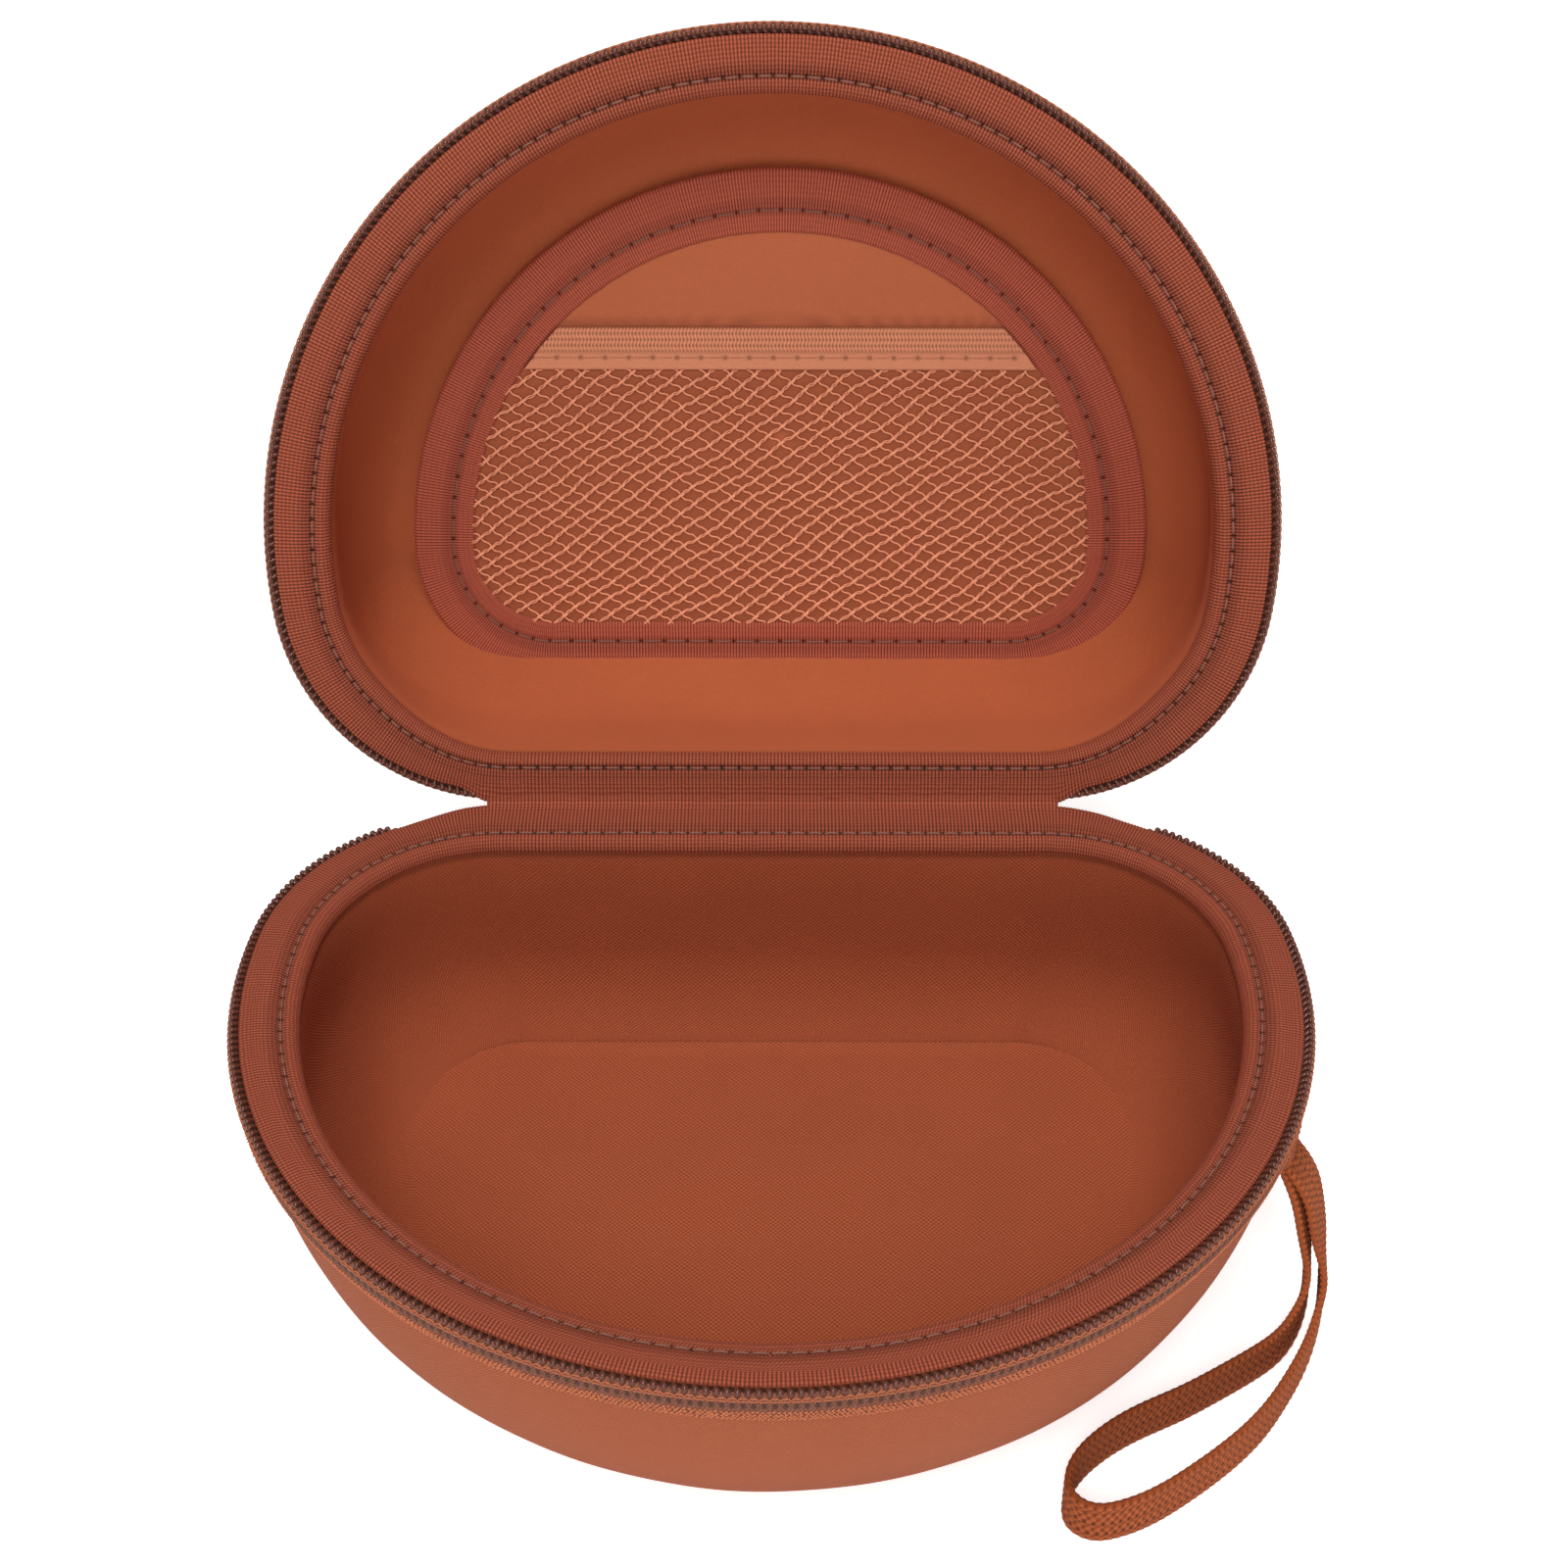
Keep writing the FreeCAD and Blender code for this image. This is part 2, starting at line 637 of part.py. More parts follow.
def pull(label, sign):
    """Flat pull tab; its top bar turns in the bridge."""
    body = new_body(label)
    middle = sign * size.slider_x
    left, right = middle - size.pull_wide / 2, middle + size.pull_wide / 2
    top, low = PIVOT_Z + BAR_HALF, PIVOT_Z - size.pull_long
    sketch = new_sketch(body, label + "_face", "XZ_Plane", -(pivot_y + size.pull_thick / 2))
    polygon(sketch, [(left, top), (right, top), (right, PULL_SHOULDER),
                     (right - 0.9, PULL_WAIST), (right - 0.3, low), (left + 0.3, low),
                     (left + 0.9, PULL_WAIST), (left, PULL_SHOULDER)])
    rectangle(sketch, middle - PULL_WINDOW_HALF, middle + PULL_WINDOW_HALF,
              PULL_WINDOW_LOW, PIVOT_Z - BAR_HALF)
    circle(sketch, middle, low + PULL_HOLE_UP, PULL_HOLE_RADIUS)
    pad(body, sketch, size.pull_thick, label + "_plate")
    return body


SIDES = (("left", -1), ("right", 1))
sliders = [slider("zipper_slider_" + side, sign) for side, sign in SIDES]
pulls = [pull("zipper_pull_" + side, sign) for side, sign in SIDES]
doc.recompute()
pull_low = -5 - size.pull_long.number
for body in pulls:
    round_edges(body, body.Name + "_round", PULL_ROUND,
                lambda edge, box: box.YLength > 1.0 and box.XLength < 0.01
                and box.ZMax < pull_low)


def zipper_end_stops():
    """Two eased blocks between the hinge strips and the ends of the coil."""
    side_gap, face_gap, ease = 0.3, 0.1, 0.3
    stops = []
    for side, x in (("left", -size.zip_gap + side_gap), ("right", size.hinge_half + side_gap)):
        box = doc.addObject("Part::Box", "stop_" + side)
        drive(box, "Length", size.zip_gap - size.hinge_half - 2 * side_gap)
        drive(box, "Width", size.coil_thick - 2 * face_gap)
        drive(box, "Height", size.coil_tall + 0.6)
        drive(box, "Placement.Base.x", x)
        drive(box, "Placement.Base.y", -size.coil_thick + face_gap)
        drive(box, "Placement.Base.z", -(size.coil_gap + size.coil_tall + 0.65))
        eased = doc.addObject("Part::Chamfer", "stop_%s_eased" % side)
        eased.Base = box
        stops.append(eased)
    # the boxes need their shapes before their edges can be named
    doc.recompute()
    for eased in stops:
        eased.Edges = [(i, ease, ease) for i in range(1, 13)]
    compound = doc.addObject("Part::Compound", "zipper_end_stops")
    compound.Links = stops
    doc.recompute()
    return compound


end_stops = zipper_end_stops()

# ------------------------------------------------------------- wrist strap
# Both ends of the webbing are sewn in under the zip tape on the right side.
# Centre line of the loop in the rim frame of the base: down the wall, out to
# the front on the ground and back up.
STRAP_DOWN = [  # x, y, z
    (94.4, -86.0, -20.3), (96.6, -86.8, -28.3), (98.2, -87.9, -37.6),
    (97.6, -91.6, -45.2), (93.6, -97.2, -50.0),
]
STRAP_GROUND = [  # x, y
    (88.1, -101.5), (80.9, -106.3), (72.8, -111.2), (64.8, -115.4), (57.8, -120.3),
    (53.6, -124.7), (51.2, -129.6), (51.4, -133.6), (54.6, -136.2), (59.4, -135.8),
    (65.4, -133.2), (72.6, -128.4), (80.1, -122.4), (86.9, -115.6), (93.3, -106.7),
]
STRAP_UP = [  # x, y, z
    (97.9, -98.9, -50.0), (100.6, -92.6, -45.2), (100.9, -88.6, -37.6),
    (98.9, -87.4, -28.3), (96.6, -86.6, -20.3),
]
STRAP_STEPS = 72
END_APART = 0.85            # each end of the webbing from the pivot, across the wall
TWIST_START, TWIST_LENGTH = 26.0, 22.0   # depths over which the webbing turns on edge
WALL_CURVE_SHARE = 0.9      # share of the side curve that the anchor follows
UP = V(0, 0, 1)

strap_angle = math.radians(size.strap_turn.number)
out = V(math.cos(strap_angle), -math.sin(strap_angle), 0)     # away from the wall
along = V(math.sin(strap_angle), math.cos(strap_angle), 0)    # along the rim, backwards
arc_middle = V(0, -(size.depth.number - size.width.number / 2), 0)
strap_drop = size.strap_drop.number
strap_wide = size.strap_wide.number


def wall_reach(down):
    """Distance of the wall from the middle of the main arc, at a depth."""
    share = 1 - math.sqrt(1 - (down / size.base_depth.number) ** 2)
    return (size.width.number / 2 - size.skin.number
            - size.base_side.number * share * WALL_CURVE_SHARE)


def bar(centre, wide_way, thick_way, wide, thick):
    """Rectangular wire round a centre."""
    a = V(wide_way).normalize() * (wide / 2)
    b = V(thick_way).normalize() * (thick / 2)
    corners = [centre - a - b, centre + a - b, centre + a + b, centre - a + b]
    return Part.makePolygon(corners + [corners[0]])


def strap_section(centre, tangent):
    """The webbing hangs flat against the wall at its ends and stands on edge
    on the ground."""
    turned = max(0.0, min(1.0, (-centre.z - TWIST_START) / TWIST_LENGTH))
    turned = turned * turned * (3 - 2 * turned)
    wanted = along * (turned - 1) + UP * turned
    wide_way = wanted - tangent * wanted.dot(tangent)
    wide_way.normalize()
    return bar(centre, wide_way, tangent.cross(wide_way), strap_wide, size.strap_thick.number)


def wrist_strap():
    pivot = arc_middle + out * (wall_reach(strap_drop) + 2.3) - UP * strap_drop
    ground = -size.base_depth.number + strap_wide / 2 + 0.5
    points = [pivot - out * END_APART - UP]
    points += [V(*point) for point in STRAP_DOWN]
    points += [V(x, y, ground) for x, y in STRAP_GROUND]
    points += [V(*point) for point in STRAP_UP]
    points += [pivot + out * END_APART - UP]
    curve = Part.BSplineCurve()
    curve.interpolate(points)
    first, last = curve.FirstParameter, curve.LastParameter
    sections = []
    for i in range(STRAP_STEPS + 1):
        place = first + (last - first) * i / STRAP_STEPS
        sections.append(strap_section(curve.value(place), curve.tangent(place)[0]))
    strap = doc.addObject("Part::Feature", "wrist_strap")
    strap.Shape = Part.makeLoft(sections, True, True)
    return strap


def strap_anchor():
    """Folded tab that holds the two ends."""
    high = -(size.tape_tall.number + 0.75)

    def outline(level, reach):
        centre = arc_middle + out * (reach + 1.35) + UP * level
        return bar(centre, along, out, strap_wide + 1.0, 2.1)
    tab = doc.addObject("Part::Feature", "wrist_strap_anchor")
    tab.Shape = Part.makeLoft([outline(-strap_drop + 0.45, wall_reach(strap_drop)),
                               outline(high, wall_reach(high))], True, True)
    return tab


on_base = base_parts + sliders + pulls + [end_stops, wrist_strap(), strap_anchor()]
doc.recompute()

# ------------------------------------------------------------- placements
hinge_at = V(0, size.hinge_y.number, size.base_depth.number)
base_at = FreeCAD.Placement(hinge_at, FreeCAD.Rotation())
tilt = FreeCAD.Rotation(V(1, 0, 0), 180.0 - size.open_angle.number)
lid_at = FreeCAD.Placement(hinge_at, tilt.multiply(FreeCAD.Rotation(V(0, 0, 1), 180.0)))
for group, placement in ((on_base, base_at), (lid_parts, lid_at)):
    for obj in group:
        obj.Placement = placement
        drive(obj, "Placement.Base.y", size.hinge_y)
        drive(obj, "Placement.Base.z", size.base_depth)
doc.recompute()

# ------------------------------------------------------------- check, write
# every cut really removed material: the volumes stay inside what is expected
VOLUMES = [  # name, lowest, highest
    ("base_cover", 25000, 45000), ("lid_cover", 25000, 45000),
    ("base_shell", 150000, 260000), ("lid_shell", 110000, 200000),
    ("base_lining", 18000, 36000), ("lid_lining", 18000, 36000),
    ("base_zipper_tape", 800, 3000), ("lid_zipper_tape", 800, 3000),
    ("base_binding", 5000, 16000), ("lid_binding", 5000, 16000),
    ("pocket_binding", 2500, 6000), ("zipper_slider_left", 100, 220),
    ("zipper_pull_left", 100, 260),
]
faults = []
for obj in doc.Objects:
    if any(word in ("Invalid", "Error") for word in obj.State):
        faults.append("%s is %s" % (obj.Name, obj.State))
nodes = on_base + lid_parts
for obj in nodes:
    if obj.Shape.isNull() or not obj.Shape.isValid() or not obj.Shape.Solids:
        faults.append("%s has no valid solid" % obj.Label)
for name, lowest, highest in VOLUMES:
    volume = doc.getObject(name).Shape.Volume
    if not lowest < volume < highest:
        faults.append("%s has a volume of %.0f" % (name, volume))
if faults:
    raise RuntimeError("; ".join(faults))

os.makedirs("parts", exist_ok=True)
for obj in nodes:
    obj.Shape.exportStep("parts/%s.step" % obj.Label)
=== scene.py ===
"""A zipped, moulded headphone carrying case, open at its hinge, with a net pocket in the
lid and a wrist strap on the base.

Lengths are millimetres unless a comment says metres; meshes are written in metres.
World: +X right, +Y back, +Z up, floor at z = 0. The base lies flat in front of the hinge
and the lid stands open behind it. Each half is drawn in a rim frame of its own: x runs
along the hinge, y is 0 at the hinge and falls away from it, and z is 0 at the rim and
falls into the bowl. "Inset" is the distance inside the widest line of the case.
"""
import math

import bpy
import bmesh
import numpy as np
from mathutils import Matrix, Vector


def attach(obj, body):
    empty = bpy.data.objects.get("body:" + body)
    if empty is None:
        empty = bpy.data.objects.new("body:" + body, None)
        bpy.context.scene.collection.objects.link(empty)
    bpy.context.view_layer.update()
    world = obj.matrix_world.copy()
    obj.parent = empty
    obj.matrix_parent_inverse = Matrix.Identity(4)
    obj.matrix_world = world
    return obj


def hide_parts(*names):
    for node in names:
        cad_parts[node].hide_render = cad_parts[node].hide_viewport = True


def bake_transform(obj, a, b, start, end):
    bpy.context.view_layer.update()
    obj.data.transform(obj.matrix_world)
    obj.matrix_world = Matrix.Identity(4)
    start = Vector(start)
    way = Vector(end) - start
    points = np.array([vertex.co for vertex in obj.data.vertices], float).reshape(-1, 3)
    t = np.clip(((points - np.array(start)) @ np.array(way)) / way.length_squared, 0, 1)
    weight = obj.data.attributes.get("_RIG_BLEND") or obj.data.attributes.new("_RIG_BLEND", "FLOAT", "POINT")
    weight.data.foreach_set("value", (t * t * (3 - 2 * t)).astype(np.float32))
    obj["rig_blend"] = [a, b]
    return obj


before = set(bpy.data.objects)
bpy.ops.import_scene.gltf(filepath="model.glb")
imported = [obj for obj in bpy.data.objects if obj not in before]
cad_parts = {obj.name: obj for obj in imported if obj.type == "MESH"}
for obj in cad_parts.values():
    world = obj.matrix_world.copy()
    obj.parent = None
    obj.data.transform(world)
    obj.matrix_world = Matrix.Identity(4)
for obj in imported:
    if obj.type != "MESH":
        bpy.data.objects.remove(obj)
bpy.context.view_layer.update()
rng = np.random.default_rng(11)     # one generator for all pieces, so their order matters
PI = math.pi

# ------------------------------------------------------------------ the case
HALVES = ("base", "lid")
HINGE_Y, HINGE_Z = 64, 56           # hinge line in the world
OPEN_ANGLE = math.radians(73.5)
OPEN_COS, OPEN_SIN = math.cos(OPEN_ANGLE), math.sin(OPEN_ANGLE)
RIM_RADIUS = 100                    # big arc of the D outline
ARC_Y = -52                         # its centre
RIM_CORNER = 45.0
SKIN = 2.75                         # inset of the cover's outside
# depth, and how far side, front and back draw in between rim and floor
BOWL = {"base": (56.0, 26.0, 36.0, 6.5), "lid": (51.0, 21.0, 32.0, 12.0)}
BASE_DEPTH, BASE_SIDE = BOWL["base"][:2]
COVER_BACK = 3.55                   # inset of the cover's hidden face
LINING = {"base": (8.95, 9.65, 4.2), "lid": (7.55, 8.25, 4.6)}  # two face insets, bulge
SEAM = {"base": 10.9, "lid": 9.9}   # inset of the seam in the rim ribbon


def to_world(half, p):
    """Rim-frame points of one half, in the world, still in millimetres."""
    p = np.asarray(p, float)
    x, y, z = p[..., 0], p[..., 1], p[..., 2]
    if half == "base":
        return np.stack([x, y + HINGE_Y, z + HINGE_Z], -1)
    return np.stack([-x, HINGE_Y - y * OPEN_COS - z * OPEN_SIN,
                     HINGE_Z - y * OPEN_SIN + z * OPEN_COS], -1)


UP = {half: to_world(half, [0, 0, 1.0]) - to_world(half, np.zeros(3)) for half in HALVES}


# ------------------------------------------------------------------ shaping helpers
def smooth(a):
    """Smooth step from 0 to 1."""
    a = np.clip(a, 0, 1)
    return a * a * (3 - 2 * a)


def bell(x, width, power=2):
    return np.exp(-(x / width) ** power)


def to_nearest(x, pitch):
    """Distance to the nearest multiple of the pitch."""
    phase = np.mod(x / pitch, 1.0)
    return np.minimum(phase, 1 - phase) * pitch


def unit(v, tiny=1e-12):
    return v / (np.linalg.norm(v, axis=-1)[..., None] + tiny)


def squared(wave, power):
    """A sine or cosine flattened, so that a circle turns into a rounded box."""
    return np.sign(wave) * np.abs(wave) ** power


def quarter_round(x):
    """Rises from 0 to 1 along a quarter circle and stays there."""
    return np.sqrt(np.clip(1 - (1 - np.minimum(x, 1)) ** 2, 0, 1))


def rounded_ends(n, run, small):
    """Scale of n stations, down to `small` at both ends over `run` stations."""
    i = np.arange(n)
    return small + (1 - small) * quarter_round(np.minimum(i, n - 1 - i) / run)


def capsule(n):
    """Shares along a strand and its thickness there, rounded at both ends."""
    a = np.linspace(0, PI, n)
    return (1 - np.cos(a)) / 2, np.sin(a) ** 0.45


def sunk(share, depth, power):
    """Height of a stitch that dives by `depth` at both ends."""
    return -depth + depth * np.sin(share * PI) ** power


def arc_len(p):
    return np.concatenate([[0], np.cumsum(np.linalg.norm(np.diff(p, axis=0), axis=1))])


def sample_even(pts, n):
    d = arc_len(pts)
    at = np.linspace(0, d[-1], n)
    return np.stack([np.interp(at, d, pts[:, c]) for c in range(pts.shape[1])], -1), d[-1]


def resample(pts, n):
    """Points evenly along a polyline with softened corners."""
    pts = np.asarray(pts, float)
    for _ in range(2):
        a, b = pts[:-1], pts[1:]
        cut = np.stack([0.75 * a + 0.25 * b, 0.25 * a + 0.75 * b], 1)
        pts = np.concatenate([[pts[0]], cut.reshape(-1, pts.shape[1]), [pts[-1]]])
    return sample_even(pts, n)[0]


def outward_normals(section):
    """Outward normals of a closed section."""
    d = np.roll(section, -1, 0) - np.roll(section, 1, 0)
    normal = unit(np.stack([-d[:, 1], d[:, 0]], -1), 1e-9)
    a, b = section[:, 0], section[:, 1]
    area = np.sum(a * np.roll(b, -1) - np.roll(a, -1) * b)
    return -normal if area > 0 else normal


# ------------------------------------------------------------------ outline and walls
def arc_join(side, front, back, corner):
    """Radius and centre y of a D outline's big arc, centre x of its right corner, and
    the angle at which the two meet."""
    big = RIM_RADIUS - side
    arc_y = ARC_Y + front - side
    rise = (-back - corner) - arc_y
    corner_x = np.sqrt(np.maximum((big - corner) ** 2 - rise ** 2, 1e-9))
    return big, arc_y, corner_x, np.arctan2(rise, corner_x)


def d_outline(part, share, side, front, back, corner):
    """Points and outward normals on a D outline, clockwise from the middle of its
    straight back. Parts: 0 line, 1 corner, 2 big arc, 3 corner, 4 line."""
    part, share, side, front, back, corner = np.broadcast_arrays(
        part, share, side, front, back, corner)
    big, arc_y, corner_x, join = arc_join(side, front, back, corner)
    turn = share * (PI / 2 - join)
    angle = np.where(part == 1, PI / 2 - turn,
                     np.where(part == 2, join - share * (PI + 2 * join),
                              np.where(part == 3, (PI - join) - turn, PI / 2)))
    line = (part == 0) | (part == 4)
    radius = np.where(part == 2, big, corner)
    centre_x = np.where(part == 1, corner_x, np.where(part == 3, -corner_x, 0.0))
    centre_y = np.where(part == 2, arc_y, -back - corner)
    x = np.where(part == 0, share * corner_x,
                 np.where(part == 4, -corner_x * (1 - share), centre_x + radius * np.cos(angle)))
    y = np.where(line, -back, centre_y + radius * np.sin(angle))
    normal_x = np.where(line, 0.0, np.cos(angle))
    normal_y = np.where(line, 1.0, np.sin(angle))
    return np.stack([x, y], -1), np.stack([normal_x, normal_y], -1)


class Track:
    """A D outline measured along its length. Side, front and back are how far it lies
    inside the rim's outline."""

    def __init__(self, side, front, back, corner, shift=0.0):
        self.shape = (side, front, back, corner)
        self.shift = shift
        big, _, corner_x, join = arc_join(*self.shape)
        bend = corner * (PI / 2 - join)
        self.lens = np.array([corner_x, bend, big * (PI + 2 * join), bend, corner_x])
        self.starts = np.concatenate([[0], np.cumsum(self.lens)])
        self.total = self.starts[-1]

    def locate(self, s):
        s = np.mod(s, self.total)
        part = np.clip(np.searchsorted(self.starts, s, side="right") - 1, 0, 4)
        return part, (s - self.starts[part]) / self.lens[part]

    def at(self, s, inset, z):
        """Rim-frame points at length s, moved in by inset, at height z."""
        s, inset, z = np.broadcast_arrays(
            np.asarray(s, float), np.asarray(inset, float), np.asarray(z, float))
        p, n = d_outline(*self.locate(s), *self.shape)
        return np.stack([p[..., 0] - inset * n[..., 0] + self.shift,
                         p[..., 1] - inset * n[..., 1], z], -1)


RIM = Track(0.0, 0.0, 0.0, RIM_CORNER)


def layer(half, s, phi, inset):
    """Points of a bowl surface, phi down from the rim."""
    depth, side, front, back = BOWL[half]
    k = 1 - np.cos(phi)

    def drawn_in(reach):
        return inset + (reach - inset + SKIN) * k

    p, _ = d_outline(*RIM.locate(s), drawn_in(side), drawn_in(front), drawn_in(back),
                     RIM_CORNER - inset - 0.8 * (side - inset + SKIN) * k)
    z = np.broadcast_to(-(depth - inset + SKIN) * np.sin(phi), p.shape[:-1])
    return np.concatenate([p, z[..., None]], -1)


def wall(half, s, inset, z):
    """Points near the wall, by inset and height."""
    s, inset, z = np.broadcast_arrays(
        np.asarray(s, float), np.asarray(inset, float), np.asarray(z, float))
    phi = np.arcsin(np.clip(-z / (BOWL[half][0] - inset + SKIN), -1, 1))
    return layer(half, s, phi, inset)


def from_back(s):
    """Length along the rim from the middle of the hinge."""
    s = np.mod(s, RIM.total)
    return np.minimum(s, RIM.total - s)


def seam_shift(half, s):
    """How far the rim ribbon's seam and lip move outwards: it is narrower towards the
    hinge, and on the base also at the sides and front."""
    x = from_back(s)
    if half == "lid":
        near = 1 - smooth((x - 50.0) / 45.0)
        return 2.5 * near, 0.9 * near
    near = 1 - smooth((x - 50.0) / 60.0)
    return 1.1 + 1.3 * near + 0.5 * smooth((x - 130.0) / 85.0), 0.4 * near


# ------------------------------------------------------------------ mesh building
class Form:
    """Collects vertices (world, mm), faces, UVs and the painted shade of one object: a darkening that stands
    for shade in pits, grooves and along shadow lines.
    """

    def __init__(self):
        self.verts, self.pits, self.count = [], [], 0
        self.quads, self.quad_uvs = [np.zeros((0, 4), int)], [np.zeros((0, 4, 2))]
        self.tris, self.tri_uvs = [np.zeros((0, 3), int)], [np.zeros((0, 3, 2))]

    def add(self, p, pit):
        p = np.asarray(p, float).reshape(-1, 3)
        self.verts.append(p)
        self.pits.append(np.broadcast_to(pit, (len(p),)).astype(float))
        self.count += len(p)
        return self.count - len(p)

    def grid(self, p, u=None, v=None, wrap_u=False, wrap_v=False, pit=0.0):
        """Quads over a grid of points; returns the number of its first vertex."""
        nu, nv = p.shape[:2]
        first = self.add(p, np.broadcast_to(pit, (nu, nv)).ravel())
        if u is None:
            u = np.arange(nu + 1) * 1.0
        if v is None:
            v = np.arange(nv + 1) * 1.0
        i, j = np.meshgrid(np.arange(nu if wrap_u else nu - 1),
                           np.arange(nv if wrap_v else nv - 1), indexing="ij")
        i, j = i.ravel(), j.ravel()
        i2, j2 = (i + 1) % nu, (j + 1) % nv
        self.quads.append(
            np.stack([i * nv + j, i2 * nv + j, i2 * nv + j2, i * nv + j2], -1) + first)
        corners = ((i, j), (i + 1, j), (i + 1, j + 1), (i, j + 1))
        self.quad_uvs.append(np.stack([np.stack([u[a], v[b]], -1) for a, b in corners], 1))
        return first

    def fan(self, ring, centre, flip=False):
        """Closes a ring of vertex numbers with a point in its middle."""
        c = self.add([centre], 0.0)
        tri = np.stack([ring, np.roll(ring, -1), np.full(len(ring), c)], -1)
        self.tris.append(tri[:, ::-1] if flip else tri)
        self.tri_uvs.append(np.zeros((len(ring), 3, 2)))

    def face(self, corners):
        """One quad or triangle, without texture coordinates."""
        faces, uvs = ((self.quads, self.quad_uvs) if len(corners) == 4
                      else (self.tris, self.tri_uvs))
        faces.append(np.array([corners]))
        uvs.append(np.zeros((1, len(corners), 2)))

    def bar(self, p, u=None, v=None, pit=0.0, ends=None):
        """A grid of closed sections, capped at both ends."""
        rows, around = p.shape[:2]
        first = self.grid(p, u, v, wrap_v=True, pit=pit)
        start, end = (p[0].mean(0), p[-1].mean(0)) if ends is None else ends
        ring = first + np.arange(around)
        self.fan(ring, start, flip=True)
        self.fan(ring + (rows - 1) * around, end)

    def tube(self, path, radius, up, sides=6, flat=1.0, u=None, closed=False):
        """A round strand along path with pointed ends; up fixes its roll."""
        path = np.asarray(path, float)
        n = len(path)
        radius = np.broadcast_to(radius, (n,)).astype(float)
        up = np.broadcast_to(up, (n, 3)).astype(float)
        if closed:
            along = unit(np.roll(path, -1, 0) - np.roll(path, 1, 0))
        else:
            along = unit(np.gradient(path, axis=0))
        side = unit(np.cross(along, up))
        normal = np.cross(side, along)
        a = np.arange(sides) * 2 * PI / sides
        ring = path[:, None] + radius[:, None, None] * (
            np.cos(a)[None, :, None] * side[:, None]
            + flat * np.sin(a)[None, :, None] * normal[:, None])
        if closed:
            self.grid(ring, wrap_u=True, wrap_v=True)
        else:
            self.bar(ring[1:-1], u=u, ends=(path[0], path[-1]))

    def build(self, name, mat):
        me = bpy.data.meshes.new(name)
        verts = np.concatenate(self.verts) / 1000.0
        quads, tris = np.concatenate(self.quads), np.concatenate(self.tris)
        me.vertices.add(len(verts))
        me.vertices.foreach_set("co", verts.astype(np.float32).ravel())
        loops = np.concatenate([quads.ravel(), tris.ravel()]).astype(np.int32)
        me.loops.add(len(loops))
        me.loops.foreach_set("vertex_index", loops)
        me.polygons.add(len(quads) + len(tris))
        start = np.concatenate([np.arange(len(quads)) * 4,
                                len(quads) * 4 + np.arange(len(tris)) * 3])
        me.polygons.foreach_set("loop_start", start.astype(np.int32))
        me.update(calc_edges=True)
        uv = np.concatenate([np.concatenate(self.quad_uvs).reshape(-1, 2),
                             np.concatenate(self.tri_uvs).reshape(-1, 2)])
        uv_map = me.uv_layers.new(name="UVMap")
        uv_map.data.foreach_set("uv", uv.astype(np.float32).ravel())
        # painted shade for the materials: darkening in pits, grooves and along shadow lines
        pit = me.attributes.new("pit", "FLOAT", "POINT")
        pit.data.foreach_set("value", np.concatenate(self.pits).astype(np.float32))
        me.validate()
        bm = bmesh.new()
        bm.from_mesh(me)
        bmesh.ops.recalc_face_normals(bm, faces=bm.faces)
        bm.to_mesh(me)
        bm.free()
        me.shade_smooth()
        me.materials.append(mat)
        ob = bpy.data.objects.new(name, me)
        bpy.context.scene.collection.objects.link(ob)
        return ob


def make(form, name, mat, rides, replaces=None):
    ob = form.build(name, MAT[mat])
    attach(ob, rides)
    if replaces:
        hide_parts(replaces)


def set_blend(ob, weights):
    data = ob.data.attributes["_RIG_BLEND"].data
    data.foreach_set("value", np.asarray(weights, np.float32))


# ------------------------------------------------------------------ materials
def lin(rgb):
    """Linear colour of an 8-bit sRGB triple."""
    def channel(c):
        c /= 255.0
        return c / 12.92 if c <= 0.04045 else ((c + 0.055) / 1.055) ** 2.4
    return tuple(channel(c) for c in rgb) + (1.0,)


def scaled(colour, factor, lift=0.0):
    return tuple(min(1.0, c * factor + lift) for c in colour[:3]) + (1.0,)


